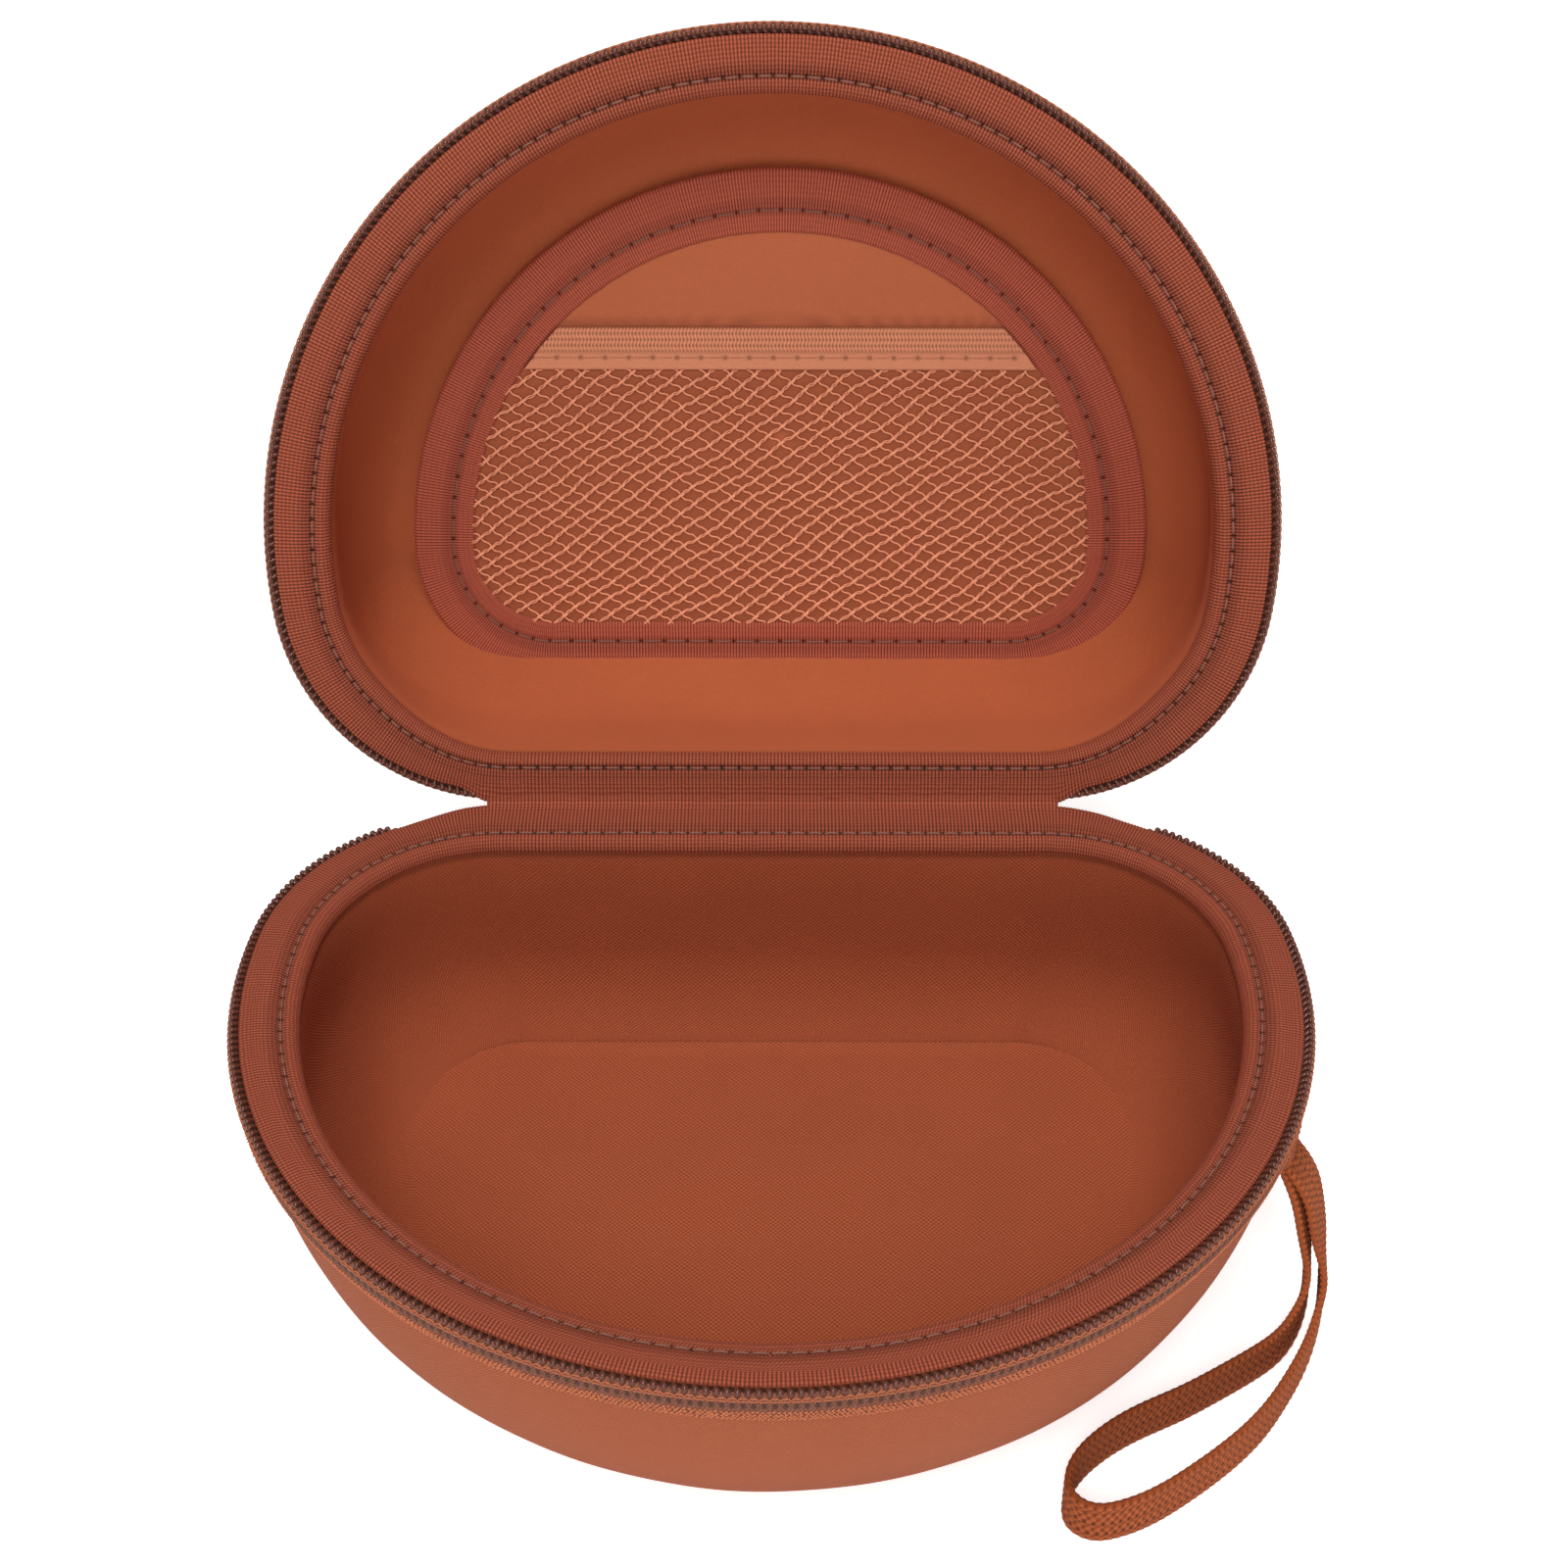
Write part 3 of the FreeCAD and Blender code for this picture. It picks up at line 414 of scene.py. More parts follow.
class Mat:
    """A node material around one Principled shader."""

    def __init__(self, name):
        self.material = bpy.data.materials.new(name)
        self.material.use_nodes = True
        self.tree = self.material.node_tree
        self.tree.nodes.clear()
        out = self.node("ShaderNodeOutputMaterial")
        self.shader = self.node("ShaderNodeBsdfPrincipled")
        self.tree.links.new(self.shader.outputs[0], out.inputs[0])

    def node(self, kind, **settings):
        n = self.tree.nodes.new(kind)
        for key, value in settings.items():
            setattr(n, key, value)
        return n

    def put(self, socket, value):
        if isinstance(value, (int, float, tuple, list)):
            socket.default_value = value
        else:
            self.tree.links.new(value, socket)

    def math(self, op, *values, clamp=False):
        n = self.node("ShaderNodeMath", operation=op, use_clamp=clamp)
        for socket, value in zip(n.inputs, values):
            self.put(socket, value)
        return n.outputs[0]

    def sin(self, x, period):
        return self.math("SINE", self.math("MULTIPLY_ADD", x, 2 * PI / period, 0.0))

    def mix(self, share, a, b):
        n = self.node("ShaderNodeMix", data_type="RGBA")
        for index, value in ((0, share), (6, a), (7, b)):
            self.put(n.inputs[index], value)
        return n.outputs[2]

    def noise(self, vec, scale, detail=3.0, roughness=0.55):
        n = self.node("ShaderNodeTexNoise")
        for key, value in (("Scale", scale), ("Detail", detail), ("Roughness", roughness),
                           ("Vector", vec)):
            self.put(n.inputs[key], value)
        return n.outputs["Fac"]

    def with_painted_shade(self, colour, dark):
        """Paints shade into the colour: darkens it where the mesh attribute marks a pit, groove or shadow
        line.
        """
        pit = self.node("ShaderNodeAttribute", attribute_name="pit").outputs["Fac"]
        return self.mix(self.math("MULTIPLY", pit, 1.0, clamp=True), colour, dark)

    def bump(self, height, distance):
        n = self.node("ShaderNodeBump")
        n.inputs["Distance"].default_value = distance
        n.inputs["Strength"].default_value = 1.0
        self.put(n.inputs["Height"], height)
        self.put(self.shader.inputs["Normal"], n.outputs[0])

    def set(self, **values):
        for key, value in values.items():
            self.put(self.shader.inputs[key.replace("_", " ")], value)


def weave_height(m, weave, u, v, wobble, pitch_u, pitch_v):
    """Height of the threads over the cloth's texture coordinates."""
    v = m.math("MULTIPLY_ADD", wobble, pitch_v * 0.8, v)
    if weave == "bead":                     # ribs broken into small knots
        return m.math("MULTIPLY_ADD", m.sin(v, pitch_v), 0.75,
                      m.math("MULTIPLY", m.sin(v, pitch_v * 0.5), 0.25))
    u = m.math("MULTIPLY_ADD", wobble, pitch_u * 0.8, u)
    if weave == "plain":
        return m.math("MULTIPLY", m.sin(u, pitch_u), m.sin(v, pitch_v))
    if weave == "along":                    # fine threads that run along the piece
        cross = m.math("MULTIPLY", m.sin(u, pitch_u), m.sin(v, pitch_v * 2))
        return m.math("MULTIPLY", m.math("ADD", m.sin(v, pitch_v), cross), 0.6)
    turn_u = m.math("MULTIPLY", u, 2 * PI / pitch_u)
    if weave == "twill":
        slope = m.math("ADD", turn_u, m.math("MULTIPLY", v, 2 * PI / pitch_v))
        return m.math("ADD", m.math("MULTIPLY", m.math("SINE", slope), 0.75),
                      m.math("MULTIPLY", m.sin(u, pitch_u * 0.5), 0.25))
    zigzag = m.math("PINGPONG", v, pitch_v)  # herringbone
    return m.math("SINE", m.math("ADD", turn_u, m.math("MULTIPLY", zigzag, 2 * PI / pitch_u)))


def fabric(name, light, dark, weave, pitch_u, pitch_v, contrast, bump, sheen, blotch,
           painted_shade_share, fibre):
    light, dark = lin(light), lin(dark)
    m = Mat(name)
    coords = m.node("ShaderNodeTexCoord").outputs
    uv = m.node("ShaderNodeSeparateXYZ")
    m.put(uv.inputs[0], coords["UV"])
    place = coords["Object"]
    fuzz = m.math("SUBTRACT", m.noise(place, 2600.0, detail=2.0), 0.5)
    wobble = m.math("MULTIPLY",
                    m.math("SUBTRACT", m.noise(place, 350.0, detail=2.0), 0.5), 0.9)
    height = weave_height(m, weave, uv.outputs[0], uv.outputs[1], wobble, pitch_u, pitch_v)
    share = m.math("MULTIPLY_ADD", height, 0.5 * contrast, 0.5)
    share = m.math("MULTIPLY_ADD", fuzz, fibre * 2, share, clamp=True)
    colour = m.mix(share, dark, light)
    # broad darker blotches, then sparse light specks
    cloud = m.math("SUBTRACT", m.noise(place, 38.0, roughness=0.6), 0.35, clamp=True)
    colour = m.mix(m.math("MULTIPLY", cloud, blotch * 4, clamp=True), colour,
                   scaled(dark, 0.72))
    specks = m.math("GREATER_THAN", m.noise(place, 900.0, detail=1.0), 0.735)
    colour = m.mix(m.math("MULTIPLY", specks, 0.10), colour, scaled(light, 1.5))
    # painted shade: pits and grooves darken towards a share of the dark colour
    m.set(Base_Color=m.with_painted_shade(colour, scaled(dark, painted_shade_share)), Specular_IOR_Level=0.22,
          Sheen_Weight=sheen, Sheen_Roughness=0.5, Sheen_Tint=scaled(light, 1.4, lift=0.08),
          Roughness=m.math("MULTIPLY_ADD", fuzz, 0.25, 0.86, clamp=True))
    m.bump(m.math("ADD", m.math("MULTIPLY", height, 0.5), m.math("MULTIPLY", fuzz, 0.9)), bump)
    return m.material


def gloss(name, light, dark, roughness, bump, metallic=0.0, edge=None):
    """A smooth material; `edge` is a colour painted towards grazing angles, for light passing through its
    edges.
    """
    light, dark = lin(light), lin(dark)
    m = Mat(name)
    place = m.node("ShaderNodeTexCoord").outputs["Object"]
    grain = m.noise(place, 1200.0)
    cloud = m.noise(place, 160.0)
    share = m.math("MULTIPLY_ADD", grain, 0.6, m.math("MULTIPLY", cloud, 0.4))
    # painted shade from the mesh attribute, as in the cloths
    colour = m.with_painted_shade(m.mix(share, dark, light), scaled(dark, 0.3))
    if edge:
        # painted light: a lighter colour towards grazing angles, standing for light shining through the
        # plastic
        facing = m.node("ShaderNodeLayerWeight")
        facing.inputs["Blend"].default_value = 0.18
        colour = m.mix(facing.outputs["Facing"], colour, lin(edge))
    m.set(Base_Color=colour, Metallic=metallic,
          Roughness=m.math("MULTIPLY_ADD", cloud, 0.25, roughness - 0.1, clamp=True))
    m.bump(grain, bump)
    return m.material


# name, light and dark sRGB, weave, thread pitch along u and v (mm; bead has none along u),
# contrast, bump (m), sheen, blotch strength, share of the dark kept where the painted shade is full, fibre
# noise
FABRICS = [
    ("outer_weave", (174, 95, 60), (126, 60, 35), "plain", 0.7, 0.7,
     1.1, 0.00012, 0.08, 0.05, 0.25, 0.22),
    ("lid_lining_weave", (198, 106, 66), (142, 65, 36), "plain", 0.62, 0.62,
     0.6, 0.00007, 0.10, 0.06, 0.25, 0.20),
    ("base_lining_weave", (184, 94, 58), (108, 44, 24), "plain", 0.95, 0.95,
     0.85, 0.0001, 0.10, 0.06, 0.25, 0.20),
    ("grosgrain", (186, 96, 68), (134, 58, 38), "bead", None, 0.8,
     0.7, 0.00006, 0.05, 0.05, 0.16, 0.25),
    ("grosgrain_fine", (216, 112, 84), (160, 72, 54), "bead", None, 1.1,
     0.25, 0.00003, 0.05, 0.04, 0.16, 0.25),
    ("panel_weave", (196, 110, 74), (156, 80, 50), "plain", 0.6, 0.6,
     0.5, 0.00006, 0.10, 0.05, 0.3, 0.25),
    ("zip_tape_weave", (150, 96, 76), (96, 52, 38), "herring", 0.7, 0.8,
     0.8, 0.0001, 0.12, 0.08, 0.28, 0.25),
    ("tape_edge_yarn", (222, 134, 94), (168, 90, 58), "twill", 0.4, 1.2,
     0.6, 0.00004, 0.12, 0.05, 0.25, 0.25),
    ("webbing_weave", (220, 116, 60), (112, 44, 18), "plain", 0.5, 0.6,
     0.5, 0.00012, 0.15, 0.08, 0.25, 0.25),
    ("elastic_knit", (242, 164, 126), (196, 118, 86), "along", 0.5, 0.35,
     0.35, 0.00005, 0.12, 0.04, 0.22, 0.25),
    ("net_yarn", (255, 180, 142), (222, 134, 98), "along", 0.3, 1.0,
     0.3, 0.00003, 0.2, 0.03, 0.25, 0.25),
    ("seam_thread", (158, 112, 96), (100, 60, 50), "twill", 0.35, 2.0,
     0.8, 0.00004, 0.1, 0.05, 0.25, 0.25),
    ("coil_thread", (204, 122, 86), (148, 78, 50), "twill", 0.35, 2.0,
     0.5, 0.00004, 0.1, 0.04, 0.25, 0.25),
    # dark cord: a real filler, its darkness also painted shade for the gaps between the teeth
    ("coil_cord", (66, 32, 22), (34, 15, 11), "twill", 0.5, 1.0,
     0.6, 0.00006, 0.0, 0.14, 0.25, 0.25),
    ("foam_core", (60, 52, 48), (34, 30, 28), "plain", 0.7, 0.7,
     0.4, 0.0001, 0.0, 0.14, 0.25, 0.25),
]
MAT = {row[0]: fabric(*row) for row in FABRICS}
MAT["coil_plastic"] = gloss("coil_plastic", (96, 38, 24), (56, 20, 12), roughness=0.24,
                            bump=0.00002, edge=(134, 88, 62))
MAT["zip_metal_finish"] = gloss("zip_metal_finish", (126, 104, 88), (78, 62, 52),
                                roughness=0.36, bump=0.00001, metallic=0.9)


# ------------------------------------------------------------------ bowls
def bowl_face(half, s, inset, bulge):
    """One face of a bowl from rim to floor, and the middle of its floor."""
    depth = BOWL[half][0]
    top = math.asin(1.35 / (depth - inset + SKIN))
    phi = np.concatenate([np.linspace(top, math.radians(28), 22),
                          np.linspace(math.radians(30), PI / 2, 34)])
    p = layer(half, s[:, None], phi[None, :], inset)
    if bulge:
        below = -p[..., 2]
        seam, lip = seam_shift(half, s)
        push = ((bulge - (seam + lip)[:, None]) * smooth((below - 1.0) / 2.4)
                * (1 - smooth((below - 5.0) / 24.0)))
        p = wall(half, s[:, None], inset + push, p[..., 2])
        # the padded corner between back wall and floor
        low = np.clip((-p[..., 2] - (depth - 26.0)) / 20.0, 0, 1) ** 2
        p[..., 1] -= 9.0 * low * smooth((p[..., 1] + 46.0) / 24.0)
    # a little unevenness, so that the cloth doesn't look machined
    slow = np.sin(s * 2 * PI * 7 / RIM.total + 1.0)[:, None] * np.sin(phi * 5)[None, :]
    quick = np.sin(s * 2 * PI * 19 / RIM.total)[:, None] * np.sin(phi * 11 + 1.3)[None, :]
    outward = unit(p - np.array([0.0, -60.0, -10.0]))
    fade = (np.sin(phi) * np.cos(phi) * 2)[None, :]
    p = p + outward * ((0.10 * slow + 0.05 * quick) * fade)[..., None]
    last = p[:, -1:]
    middle = np.array([0.0, -68.0, last[0, 0, 2]])
    shares = np.array([0.9, 0.75, 0.55, 0.35, 0.15])
    return np.concatenate([p, middle + (last - middle) * shares[None, :, None]], 1), middle


def bowl_sheet(half, outer, inner, bulge, painted_shadow_line):
    """Closed sheet in the shape of a bowl: floor, wall, rim, wall, floor. The last
    argument is a painted shadow line: is it on the inner face, depth, width, strength."""
    ns = 300
    s = np.arange(ns) * RIM.total / ns
    outside, outer_middle = bowl_face(half, s, outer, 0.0)
    inside, inner_middle = bowl_face(half, s, inner, bulge)
    p = np.concatenate([outside[:, ::-1], inside], 1)
    v = arc_len(p[ns * 2 // 3])
    on_inner, shadow_line_depth, width, strength = painted_shadow_line
    # painted shadow line along the wall at the given depth
    pit = strength * bell(-p[..., 2] - shadow_line_depth, width)
    is_inner = np.arange(p.shape[1]) >= outside.shape[1]
    pit = pit * (is_inner == on_inner)
    f = Form()
    first = f.grid(to_world(half, p), np.append(s, RIM.total), np.append(v, v[-1]),
                   wrap_u=True, pit=pit)
    # the flat floor is cut straight from the cloth: plain plan coordinates there
    nv = p.shape[1]
    quads = f.quads[-1] - first
    column = quads % nv
    n_flat = 7
    flat = np.all((column < n_flat) | (column >= nv - n_flat), axis=1)
    plan = p.reshape(-1, 3)[:, :2]
    f.quad_uvs[-1][flat] = plan[quads[flat]]
    for column, middle, flip in ((0, outer_middle, False), (nv - 1, inner_middle, True)):
        ring = np.arange(ns) * nv + column
        f.fan(first + ring, to_world(half, middle), flip=flip)
        uv = np.stack([plan[ring], plan[np.roll(ring, -1)],
                       np.broadcast_to(middle[:2], (ns, 2))], 1)
        f.tri_uvs[-1] = uv[:, ::-1] if flip else uv
    return f


# painted shadow lines: on the cover just under the zip tape's lower edge, on the lining just under the rim
# ribbon's lip
for half in HALVES:
    make(bowl_sheet(half, SKIN, COVER_BACK, 0.0, painted_shadow_line=(False, 8.8, 0.6, 0.35)),
         half + "_outer_cover", "outer_weave", half, half + "_cover")
    make(bowl_sheet(half, *LINING[half], painted_shadow_line=(True, 4.2, 0.8, 0.55)),
         half + "_inner_lining", half + "_lining_weave", half,
         half + "_lining")


# ------------------------------------------------------------------ ribbons
def ribbon_section(face, back, soft, soft_share):
    """Closed section of inset, z and rib share; the ribs are weaker at `soft`."""
    section = np.zeros((len(face) + len(back), 3))
    section[:, :2] = np.concatenate([face, back])
    section[:len(face), 2] = 1
    section[soft, 2] = soft_share
    return section


def ribbon(half, track, section, n_ribs, seam, stitch_pitch, seam_depth, rib,
           ease=None, slant=0.0):
    """A grosgrain ribbon along a track. `seam` is the section point of its sewn valley,
    `ease` shifts insets along the track, `slant` leans the ribs towards the front."""
    ns = n_ribs * 4
    s = np.arange(ns) * track.total / ns
    share = section[:, 2]
    normal = outward_normals(section[:, :2])
    along = arc_len(section[:, :2])
    front = smooth(1 - np.abs(s - track.total / 2) / (track.total * 0.30))[:, None]
    wave = np.cos(2 * PI * (s[:, None] * n_ribs / track.total
                            + slant * front * np.clip(along[None, :] - 4.2, 0, None)))
    jitter = np.interp(s, np.linspace(0, track.total, 260), rng.normal(0, 1, 260))[:, None]
    push = rib * share[None, :] * (wave - 0.6) + 0.03 * share[None, :] * jitter
    # painted shade in the grooves between the ribs
    pit = share[None, :] * np.clip(0.36 - 0.52 * wave, 0, 1)
    # sewn valley with a hole between every two stitches; the valley, the holes and a band on one side of it
    # get painted shade
    on_face = (share > 0)[None, :]
    off_seam = along - along[seam]
    n_stitches = int(round(track.total / stitch_pitch))
    off_hole = to_nearest(s, track.total / n_stitches)
    valley = bell(np.abs(off_seam), 0.75)[None, :]
    hole = bell(off_hole, 0.42)[:, None] * bell(off_seam, 0.38)[None, :]
    shade = bell(off_seam + 1.5, 1.0)[None, :]
    push = push - on_face * (valley * seam_depth * 0.55 + hole * seam_depth * 0.9)
    pit = pit + on_face * (0.22 * valley + 0.7 * hole + 0.16 * shade)
    inset = section[None, :, 0] + push * normal[None, :, 0]
    z = section[None, :, 1] + push * normal[None, :, 1]
    if ease is not None:
        inset = ease(s, inset)
    f = Form()
    f.grid(to_world(half, track.at(s[:, None], inset, z)), np.append(s, track.total),
           np.append(along, along[-1] + 1), wrap_u=True, wrap_v=True, pit=np.clip(pit, 0, 1))
    return f


def rim_section(seam):
    """Section of the rim ribbon: crowned top, sewn valley, turned-in lip; and the
    number of its seam point."""
    face = resample(
        [(2.5, -0.95), (2.3, -0.72), (2.34, -0.42), (2.75, -0.24), (3.5, -0.15),
         (seam - 4.6, -0.1), (seam - 2.8, -0.12), (seam - 1.6, -0.24), (seam - 0.8, -0.48),
         (seam - 0.25, -0.78), (seam + 0.25, -0.84), (seam + 0.8, -0.74), (seam + 1.6, -0.85),
         (seam + 2.4, -1.25), (seam + 3.0, -2.0), (seam + 3.3, -2.9), (seam + 3.3, -3.7),
         (seam + 3.0, -4.15), (seam + 2.5, -4.2)], 54)
    back = [(seam + 1.6, -3.4), (seam + 0.4, -2.3), (seam - 1.0, -1.5), (6.0, -1.2),
            (3.4, -1.22)]
    return (ribbon_section(face, back, soft=[0, 1, 52, 53], soft_share=0.3),
            int(np.argmin(np.abs(face[:, 0] - seam))))


def rim_ease(half):
    """Towards the hinge the rim ribbon reaches out to the fold itself."""
    run = 20.0 if half == "base" else 8.0

    def ease(s, inset):
        x = from_back(s)[:, None]
        out = 2.5 * (1 - smooth((x - 57.0) / run)) * (1 - smooth((inset - 2.4) / 4.2))
        seam, lip = seam_shift(half, s)
        return (inset - out - seam[:, None] * smooth((inset - 3.2) / 5.0)
                - lip[:, None] * smooth((inset - SEAM[half] - 0.2) / 2.6))
    return ease


RIM_RIBS = 800
RIM_STITCH = 3.4                    # pitch of the stitches


def rim_stitches(half, seam_inset, seam_z):
    """Sewing thread along the valley, one sunk stitch after another."""
    n_stitches = int(round(RIM.total / RIM_STITCH))
    step = RIM.total / n_stitches
    share, radius = capsule(8)
    z = seam_z - 0.10 + sunk(share, 0.42, 0.5) * 0.8
    f = Form()
    for i in range(n_stitches):
        s = i * step + 0.2 + share * (step - 0.4) + 0.05 * rng.normal()
        path = RIM.at(s, seam_inset - seam_shift(half, s)[0], z)
        f.tube(to_world(half, path), 0.18 * radius, UP[half], u=np.linspace(0, 3, 8))
    return f


for half in HALVES:
    section, seam = rim_section(SEAM[half])
    make(ribbon(half, RIM, section, RIM_RIBS, seam, RIM_STITCH, seam_depth=0.4, rib=0.08,
                ease=rim_ease(half), slant=1.05 if half == "base" else 0.0),
         half + "_rim_ribbon", "grosgrain", half, half + "_binding")
    make(rim_stitches(half, *section[seam, :2]), half + "_rim_ribbon_stitches",
         "seam_thread", half, half + "_binding_stitching")


# ------------------------------------------------------------------ zip
TOOTH_PITCH = 1.65                  # wanted; STEP is the pitch that fits the row
ZIP_START = 46.0                    # lengths along the rim
ZIP_END = RIM.total - ZIP_START
N_TEETH = int((ZIP_END - ZIP_START) / TOOTH_PITCH)
STEP = (ZIP_END - ZIP_START) / N_TEETH
COIL_INSET, COIL_Z = 1.72, -1.16    # middle of the coil
ROW_DIP = {"base": (4.3, 72.0, 8.5), "lid": (3.6, 53.5, 7.5)}  # depth, start, run
# outside of the tape, from the coil down the wall: inset, z
TAPE_LINE = np.array([
    (1.8, -0.86), (1.3, -0.88), (0.88, -0.95), (0.56, -1.15), (0.38, -1.6), (0.32, -2.4),
    (0.38, -3.3), (0.56, -4.3), (0.86, -5.3), (1.18, -6.2), (1.5, -7.0), (1.82, -7.8),
    (2.05, -8.3), (2.35, -8.45)])
TAPE_BACK = np.array([(2.6, -8.3), (2.9, -6.0), (3.1, -4.2), (3.1, -2.4), (2.95, -1.6),
                      (2.0, -1.3)])


def on_tape(z):
    """Inset of the tape's outside at height z."""
    return np.interp(-z, -TAPE_LINE[2:, 1], TAPE_LINE[2:, 0])


def row_dip(half, s):
    """Near the hinge the open row sinks behind the ribbon, down to the slider."""
    depth, start, run = ROW_DIP[half]
    return -depth * (1 - smooth((from_back(s) - start) / run))


def tape_dip(z):
    """Share of the row's dip that the tape follows at height z."""
    return np.clip((z + 8.4) / 4.2, 0, 1)


def outward(half, s):
    return to_world(half, RIM.at(s, -5.0, -3.0)) - to_world(half, RIM.at(s, 0.0, -3.0))


def coil_teeth(half):
    """One strand wound into flat loops, thicker at the meshing heads."""
    per_turn = 14
    turns = np.arange(N_TEETH * per_turn + 1) / per_turn
    cos_a, sin_a = np.cos(2 * PI * turns), np.sin(2 * PI * turns)
    radius = 0.34 + 0.06 * np.clip(sin_a, 0, 1) ** 2 + 0.05 * np.clip(-sin_a, 0, 1) ** 2
    across, rise = squared(cos_a, 0.75), squared(sin_a, 0.75)
    s = ZIP_START + turns * STEP - 0.15 * STEP * sin_a
    dip = row_dip(half, s)
    inset = COIL_INSET - across * (0.98 - radius)
    z = COIL_Z + rise * (1.12 - radius) - 0.26 * (1 - across) + dip
    path = to_world(half, RIM.at(s, inset, z))
    centre = to_world(half, RIM.at(s, COIL_INSET, COIL_Z + dip))
    f = Form()
    f.tube(path, radius, path - centre, 8)
    # every loop ends in a rounded head, the bead that meshes with the other row
    a = np.linspace(0, PI, 9)
    for i in range(N_TEETH):
        s = ZIP_START + (i + 0.03) * STEP
        bead = RIM.at(s - 0.60 * np.cos(a), 1.16, -0.62 + row_dip(half, s))
        f.tube(to_world(half, bead), 0.60 * np.sin(a) ** 0.8 + 0.001, UP[half], 9)
    return f


def coil_cord(half):
    """Cord inside the coil; its dark colour also stands for the shade in the gaps between the teeth."""
    s = np.linspace(ZIP_START + 0.3, ZIP_END - 0.3, 700)
    f = Form()
    f.tube(to_world(half, RIM.at(s, 1.8, -1.5 + row_dip(half, s))), 0.6, UP[half], 8,
           flat=1.35, u=np.linspace(0, 480, 701))
    return f


def zip_tape(half):
    """Tape that wraps the outside of the coil, shows its bumps, then lies on the wall."""
    s = np.linspace(ZIP_START, ZIP_END, N_TEETH * 6 + 1)
    face = resample(TAPE_LINE, 34)
    section = np.concatenate([face, TAPE_BACK])
    inset, z = section[:, 0], section[:, 1]
    on_face = (np.arange(len(section)) < len(face))[None, :]
    tooth = np.cos(2 * PI * (s - ZIP_START) / STEP - PI)[:, None]
    upper = (smooth((z + 4.4) / 1.4) * smooth((-0.95 - z) / 0.3))[None, :]
    off_hole = to_nearest(s - ZIP_START + 0.5 * STEP, STEP)
    hole = bell(off_hole, 0.40, 4)[:, None] * bell(z + 2.85, 0.95, 4)[None, :] * on_face
    low = smooth((-4.7 - z) / 0.5)[None, :] * on_face
    rows = np.cos(2 * PI * (z + 5.0) / 0.7)[None, :]
    insets = (inset[None, :] - on_face * 0.13 * upper * tooth + 0.2 * hole
              - 0.05 * low * rows)
    heights = z[None, :] + row_dip(half, s)[:, None] * tape_dip(z)[None, :]
    # painted shade: between the coil's bumps, in the sunk holes and on the tape under the edge braid's knots
    pit = on_face * (0.14 * upper * (1 - tooth) + 0.85 * hole + 0.42 * low)
    f = Form()
    f.bar(to_world(half, wall(half, s[:, None], insets, heights)), np.append(s, s[-1]),
          np.append(arc_len(section), 20), pit=np.clip(pit, 0, 1))
    return f


def coil_links(half):
    """Chain of oval links lying on the tape just under the teeth."""
    a = np.arange(12) * 2 * PI / 12
    z = -1.5 + 0.28 * np.sin(a)
    inset = on_tape(z) - 0.08 - 0.06 * np.cos(2 * a)
    f = Form()
    for i in range(N_TEETH):
        s = ZIP_START + (i + 0.5) * STEP
        link = wall(half, s + 0.78 * np.cos(a), inset, z + row_dip(half, s))
        f.tube(to_world(half, link), 0.14, outward(half, s), 5, closed=True)
    return f


def edge_braid(half):
    """Five rows of slanted knots along the tape's edge."""
    share, radius = capsule(5)
    f = Form()
    for i in range(N_TEETH):
        tooth_s = ZIP_START + (i + 0.5) * STEP
        up = outward(half, tooth_s)
        for row in range(5):
            lean = 1 if row % 2 else -1
            for k in range(2):
                row_z = -4.6 - 0.82 * row + 0.1 * rng.normal()
                fall = row_dip(half, tooth_s) * tape_dip(row_z)
                s = tooth_s + (k - 0.5) * STEP * 0.5 + 0.2 * lean + 0.06 * rng.normal()
                z = row_z + 0.62 * lean * (share - 0.5)
                inset = on_tape(z) - 0.03 - 0.12 * np.sin(share * PI)
                knot = wall(half, s + 0.56 * (share - 0.5), inset, z + fall)
                f.tube(to_world(half, knot), (0.18 + 0.04 * rng.random()) * radius, up, 5)
    return f


def end_stops():
    """Crimped end stops, sunk with the row's end."""
    n = 25
    a = np.arange(20) * 2 * PI / 20
    pinch = 1 - 0.10 * bell(np.linspace(0, 1, n) - 0.5, 0.12)
    size = (rounded_ends(n, 4.0, 0.6) * pinch)[:, None]
    y = -1.1 + squared(np.cos(a), 0.5) * 0.95 * size
    z = -5.6 + squared(np.sin(a), 0.5) * 1.6 * size
    f = Form()
    for side in (-1, 1):
        x = side * (43.6 + np.linspace(0, 2.6, n))
        f.bar(to_world("base", np.stack([np.broadcast_to(x[:, None], y.shape), y, z], -1)))
    return f


for half in HALVES:
    make(coil_teeth(half), half + "_coil_teeth", "coil_plastic", half,
         half + "_zipper_coil")
    make(coil_cord(half), half + "_coil_cord", "coil_cord", half)
    make(zip_tape(half), half + "_zip_tape_band", "zip_tape_weave", half,
         half + "_zipper_tape")
    make(coil_links(half), half + "_coil_loops", "coil_thread", half)
    make(edge_braid(half), half + "_tape_edge_braid", "tape_edge_yarn", half,
         half + "_tape_stitching")
make(end_stops(), "zip_row_end_stops", "zip_metal_finish", "base",
     "zipper_end_stops")


# ------------------------------------------------------------------ hinge
HINGE_CORNER = 4.0                  # rounding of the outer tape's corners
HINGE_TAPE_REACH = 16.0


